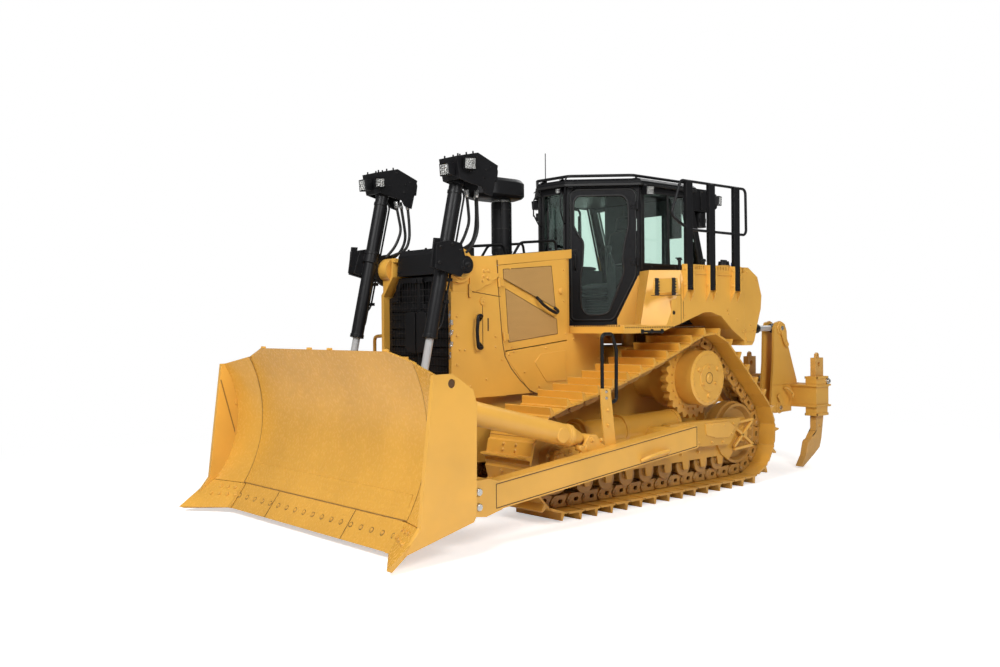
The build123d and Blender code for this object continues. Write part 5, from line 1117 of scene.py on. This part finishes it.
seam_dark = coated("weld_seam", (0.05, 0.022, 0.008), (0.1, 0.05, 0.02), 0.6, low_browning=0.1)
low, high = [[(x, arm_z(x, off)) for x in (-0.14, 2.53)] for off in (-0.098, 0.098)]
form = bmesh.new()
for joint in (low, high, (low[0], high[0]), (low[1], high[1])):
    seam(form, joint, 1.625, 0.007, 0.0015)
finished("arm_seams", form, seam_dark, "blade", both=True)
tubes("step_bars", [[(0.33, 1.63, 0.565), (0.36, 1.685, 0.6), (0.68, 1.69, 0.565), (0.71, 1.63, 0.53)]],
      0.018, yellow, "blade", 0.03, both=True)
form = bmesh.new()
bolts(form, ((1.14, 0.755), (1.26, 0.765)), 1.505, 0.02)
bolts(form, ((1.03, 0.88), (1.03, 1.02)), 1.494, 0.02)
for x, z in ((1.25, 0.754), (1.596, 0.83)):
    disc(form, x, z, 1.474, 1.49, 0.058, 24, 0.05)
disc(form, 1.62, 0.834, 1.49, 1.502, 0.075, 28, 0.065)
finished("arm_fittings", form, yellow, "blade", 0.002, both=True)
form = bmesh.new()
for x, z, near, far in ((2.80, 1.147, 1.5, 1.53), (2.72, 0.482, 1.62, 1.645), (2.72, 0.36, 1.62, 1.645)):
    disc(form, x, z, near, far, 0.034, 20, 0.028)
bolts(form, ((1.05, 1.13), (1.05, 1.19)), 1.494, 0.015)
finished("arm_pins", form, silver, "blade", 0.002, both=True)
form = bmesh.new()
rod(form, (1.465, 1.4, 0.8085), (1.335, 1.4, 0.7755), 0.099, 32, 0.062)
for x, z in ((1.26, 0.765), (1.40, 0.70), (1.32, 0.70)):
    disc(form, x, z, 1.45, 1.512, 0.03, 20, 0.026)
brace_foot = Vector((1.25, 1.4, 0.754))
way = (Vector((2.87, 1.4, 1.165)) - brace_foot).normalized()
for at, wide in ((0.22, 0.107), (0.245, 0.104), (1.43, 0.106), (1.53, 0.108)):
    spot = brace_foot + way * at
    rod(form, spot, spot + way * 0.035, wide, 32)
finished("brace_bands", form, yellow, "blade", 0.003, both=True)

# ---- Lift cylinders ------------------------------------------------------------------
# Long dark barrels held at mid length in a yoke that swings on the guard, with ground
# and plated rods, clamped hoses behind and a lamp housing on each head.
rod_steel = coated("rod_chrome", (0.60, 0.60, 0.60), (0.7, 0.7, 0.7), 0.2, "chrome_rod",
                   metallic=0.35, low_browning=0.03, grain=0.01)
dress(rod_steel, "lift_rod_left", "lift_rod_right", "ripper_lift_rods")
dress(black, "lift_barrel_left", "lift_barrel_right", "lamp_box_left", "lamp_box_right")


def on_barrel(z, y=0.59):
    """Point on the left lift cylinder's axis at a height."""
    return Vector((2.246 + 0.226 * (2.37 - z), y, z))


def on_side(name, form, side, finish, body, edge):
    """Finishes a piece shaped for the left side, on the side asked for."""
    bmesh.ops.scale(form, vec=(1, side, 1), verts=form.verts)
    finished(name, form, finish, body, edge)


def hose_end(form, start, run, parts):
    """Crimped end of a hose: turned parts along run, each from, to, radius and sides."""
    for near, far, radius, sides in parts:
        rod(form, start + run * near, start + run * far, radius, sides)


down = (on_barrel(1.0) - on_barrel(2.0)).normalized()
for name, side in (("left", 1), ("right", -1)):
    body = "lift_barrel_" + name
    form = bmesh.new()
    for z, wide, deep in ((1.735, 0.068, 0.035), (2.55, 0.079, 0.03), (2.47, 0.078, 0.03),
                          (3.05, 0.068, 0.03), (3.14, 0.07, 0.03)):
        spot = on_barrel(z)
        rod(form, spot, spot + down * deep, wide, 28)
    spot = on_barrel(1.712)
    rod(form, spot, spot + down * 0.012, 0.05, 24)
    bolts(form, ((2.35, 2.52), (2.37, 2.38), (2.12, 2.5), (2.1, 2.34), (2.22, 2.55)), 0.70, 0.017)
    disc(form, *lift_pivot, 0.69, 0.704, 0.06, 28)
    bolts(form, (lift_pivot,), 0.704, 0.025)
    plate(form, [(2.40, 2.6), (2.33, 2.6), (2.37, 2.34), (2.44, 2.34)], 1, 0.655, 0.672)
    for z in (2.05, 2.25):
        clamp = Matrix.Translation(on_barrel(z) + Vector((-0.085, 0, -0.02)))
        bmesh.ops.create_cube(form, size=1, matrix=clamp @ Matrix.Diagonal((0.06, 0.075, 0.03, 1)))
    on_side("barrel_bands_" + name, form, side, black, body, 0.002)
    lines = []
    for y, stop in ((0.57, 2.0), (0.615, 1.82)):
        line = [on_barrel(z, y) + Vector((ahead, 0, 0))
                for z, ahead in ((3.1, -0.02), (3.02, -0.1), (stop, -0.088), (stop - 0.06, -0.04))]
        lines.append([(spot.x, side * spot.y, spot.z) for spot in line])
    tubes("barrel_lines_" + name, lines, 0.0095, black, body, 0.04)
    loops = [[(1.93, 0.56, 3.06), (1.9, 0.55, 2.9), (1.88, 0.54, 2.78), (1.95, 0.54, 2.62), (2.06, 0.56, 2.5)],
             [(1.84, 0.6, 3.06), (1.815, 0.58, 2.85), (1.80, 0.57, 2.7), (1.87, 0.57, 2.56), (2.02, 0.6, 2.45)],
             [(1.80, 0.54, 3.05), (1.785, 0.53, 2.85), (1.79, 0.52, 2.7), (1.84, 0.52, 2.58),
              (1.99, 0.56, 2.52)]]
    tubes("head_hoses_" + name, [[(x, side * y, z) for x, y, z in line] for line in loops],
          0.0145, rubber, body, 0.12)
    form = bmesh.new()
    for line in loops:
        start = Vector(line[0])
        hose_end(form, start, (Vector(line[1]) - start).normalized(),
                 ((-0.02, 0.05, 0.019, 12), (0.02, 0.035, 0.023, 6)))
    on_side("hose_ends_" + name, form, side, silver, body, 0.001)
    form = bmesh.new()
    for x, z in ((1.96, 3.354), (1.85, 3.25), (1.868, 3.17), (1.79, 3.278), (2.04, 3.22)):
        bolts(form, ((x, z),), 0.75, 0.009)
        bolts(form, ((x, z),), 0.5, 0.009, -1)
    for x in (2.16, 2.06, 1.98):
        lid = 3.34 + (2.205 - x) * 0.22
        for y in (0.53, 0.72):
            rod(form, (x, y, lid), (x, y, lid + 0.022), 0.008, 8)
    plate(form, [(1.69, 3.25), (1.705, 3.30), (1.72, 3.16), (1.705, 3.15)], 1, 0.512, 0.738)
    on_side("lamp_box_bolts_" + name, form, side, black, body, 0.001)
    work_lamp("front_lamp_" + name, Vector((2.235, side * 0.655, 3.225)), (1, side * 0.08, -0.08), 0.092, body)
    work_lamp("cheek_lamp_" + name, Vector((2.08, side * 0.785, 3.28)), (0.45, side, -0.1), 0.092, body)
    if side < 0:
        work_lamp("inner_lamp_" + name, Vector((2.19, -0.465, 3.235)), (0.55, 1, -0.1), 0.075, body)
tubes("guard_hoses", [[(2.05, 0.53, 2.2), (2.1, 0.535, 2.0), (2.09, 0.54, 1.6), (2.105, 0.53, 1.3)],
                      [(2.06, 0.515, 2.2), (2.1, 0.518, 1.95), (2.095, 0.52, 1.7), (2.08, 0.515, 1.5)],
                      [(2.11, 0.545, 1.78), (2.12, 0.53, 1.7), (2.105, 0.52, 1.62), (2.11, 0.53, 1.42)]],
      0.012, rubber, "tractor", 0.1)
form = bmesh.new()
for start, run in (((2.11, 0.535, 1.80), (0.05, 0.2, 0.9)), ((2.115, 0.53, 1.71), (0, 0.3, 0.7)),
                   ((2.112, 0.53, 1.60), (0, 0.25, 0.8)), ((2.11, 0.53, 1.50), (0, 0.1, 0.9)),
                   ((2.108, 0.53, 1.88), (0, 0.1, 1))):
    hose_end(form, Vector(start), Vector(run).normalized(), ((0, 0.07, 0.016, 12), (0.02, 0.04, 0.021, 6)))
finished("guard_hose_ends", form, silver, "tractor", 0.001)
tubes("guard_step", [[(2.04, -0.556, 1.72), (2.04, -0.80, 1.705), (2.04, -0.80, 1.46), (2.04, -0.556, 1.45)]],
      0.018, yellow, "tractor", 0.05)

# ---- Ripper --------------------------------------------------------------------------
# Welded beam on two towers, raised by cylinders under the tank and kept level by the
# tilt rods. Shanks hang in pockets on pins; their tips are worn bright, with a painted
# highlight on their edges.
dress(yellow, "ripper_link", "ripper_frame")
dress(black, "ripper_lift_barrels", "ripper_tilt_cylinders")
shank_steel = coated("shank_enamel", (0.70, 0.375, 0.085), (0.62, 0.44, 0.22), 0.4, "track_steel",
                     low_browning=0.35)
dress(shank_steel, "ripper_shanks")
form = bmesh.new()
head, foot = Vector((-2.048, 0, 1.73)), Vector((-3.086, 0, 1.74))
for side in (-1, 1):
    across = Vector((0, side * 0.63, 0))
    rod(form, head.lerp(foot, 0.6) + across, head.lerp(foot, 0.93) + across, 0.0365, 24)
finished("tilt_rods", form, rod_steel, "ripper_tilt")
form = bmesh.new()
for side in (-1, 1):
    across = Vector((0, side * 0.63, 0))
    for first, last, wide in ((0.13, 0.16, 0.056), (0.56, 0.625, 0.058), (0.9, 0.97, 0.045)):
        rod(form, head.lerp(foot, first) + across, head.lerp(foot, last) + across, wide, 24)
finished("tilt_bands", form, black, "ripper_tilt", 0.002)

tilt_pin, link_pin = (-3.086, 1.74), (-3.048, 0.735)
form = bmesh.new()
for side in (-1, 1):
    for (x, z), wide in ((tilt_pin, 0.085), (link_pin, 0.075)):
        disc(form, x, z, side * 0.72, side * 0.735, wide, 32, wide - 0.008)
        disc(form, x, z, side * 0.735, side * 0.745, wide * 0.6, 24)
    seam(form, ((-3.1, 1.70), (-3.19, 1.53)), side * 0.735, 0.075, 0.014, side)
    disc(form, -3.19, 1.53, side * 0.735, side * 0.76, 0.03)
    seam(form, ((-3.09, 0.77), (-3.0, 0.90)), side * 0.735, 0.06, 0.014, side)
    strap(form, (-3.5, side * 0.72, 1.0215), (-2.9, side * 0.72, 1.0215), 0.02, 0.012, (0, 0, 1))
    for z in (0.76, 0.998):
        seam(form, ((-3.60, z), (-3.31, z)), side * 1.091, 0.02, 0.006, side)
shank_rows = (-1.0, 0.0, 1.0)
for y in shank_rows:
    corners = [(x, y + off) for off in (-0.09, 0.09) for x in (-3.598, -3.328)]
    for z, wide in ((0.644, 0.032), (1.11, 0.03)):
        for first, last in ((0, 1), (2, 3), (0, 2), (1, 3)):
            start, end = corners[first], corners[last]
            inward = Vector((-3.463 - (start[0] + end[0]) / 2, y - (start[1] + end[1]) / 2, 0))
            strap(form, (*start, z), (*end, z), wide, 0.014, inward)
finished("ripper_fittings", form, yellow, "ripper_frame", 0.003)
tubes("ripper_hooks", [[(-3.14, side * 0.735, 0.98), (-3.16, side * 0.79, 0.97), (-3.25, side * 0.80, 0.90),
                        (-3.24, side * 0.79, 0.86)] for side in (-1, 1)], 0.016, yellow, "ripper_frame", 0.03)
form = bmesh.new()
for y in shank_rows:
    disc(form, -3.583, 1.06, y + 0.06, y + 0.1, 0.038, 20)
    disc(form, -3.583, 1.06, y + 0.1, y + 0.118, 0.024, 12)
    disc(form, -3.456, 1.03, y - 0.05, y - 0.085, 0.03)
for side in (-1, 1):
    for x, z in (tilt_pin, link_pin):
        disc(form, x, z, side * 0.744, side * 0.752, 0.028, 20)
finished("ripper_pins", form, silver, "ripper_frame", 0.002)
form = bmesh.new()
for y in shank_rows:
    plate(form, [(-3.215, 0.335), (-3.19, 0.31), (-3.14, 0.155), (-3.031, 0.026), (-3.07, 0.02),
                 (-3.2, 0.105), (-3.31, 0.20), (-3.33, 0.29), (-3.28, 0.35)], 1, y - 0.046, y + 0.046)
    plate(form, [(-3.379, 0.62), (-3.379, 0.47), (-3.36, 0.41), (-3.26, 0.352), (-3.3, 0.40), (-3.4, 0.46)],
          1, y - 0.042, y + 0.042)
    for x, z in ((-3.25, 0.27), (-3.472, 0.5)):
        disc(form, x, z, y - 0.05, y + 0.05, 0.014, 12)
finished("shank_tips", form, shank_steel, "ripper_frame", 0.004)
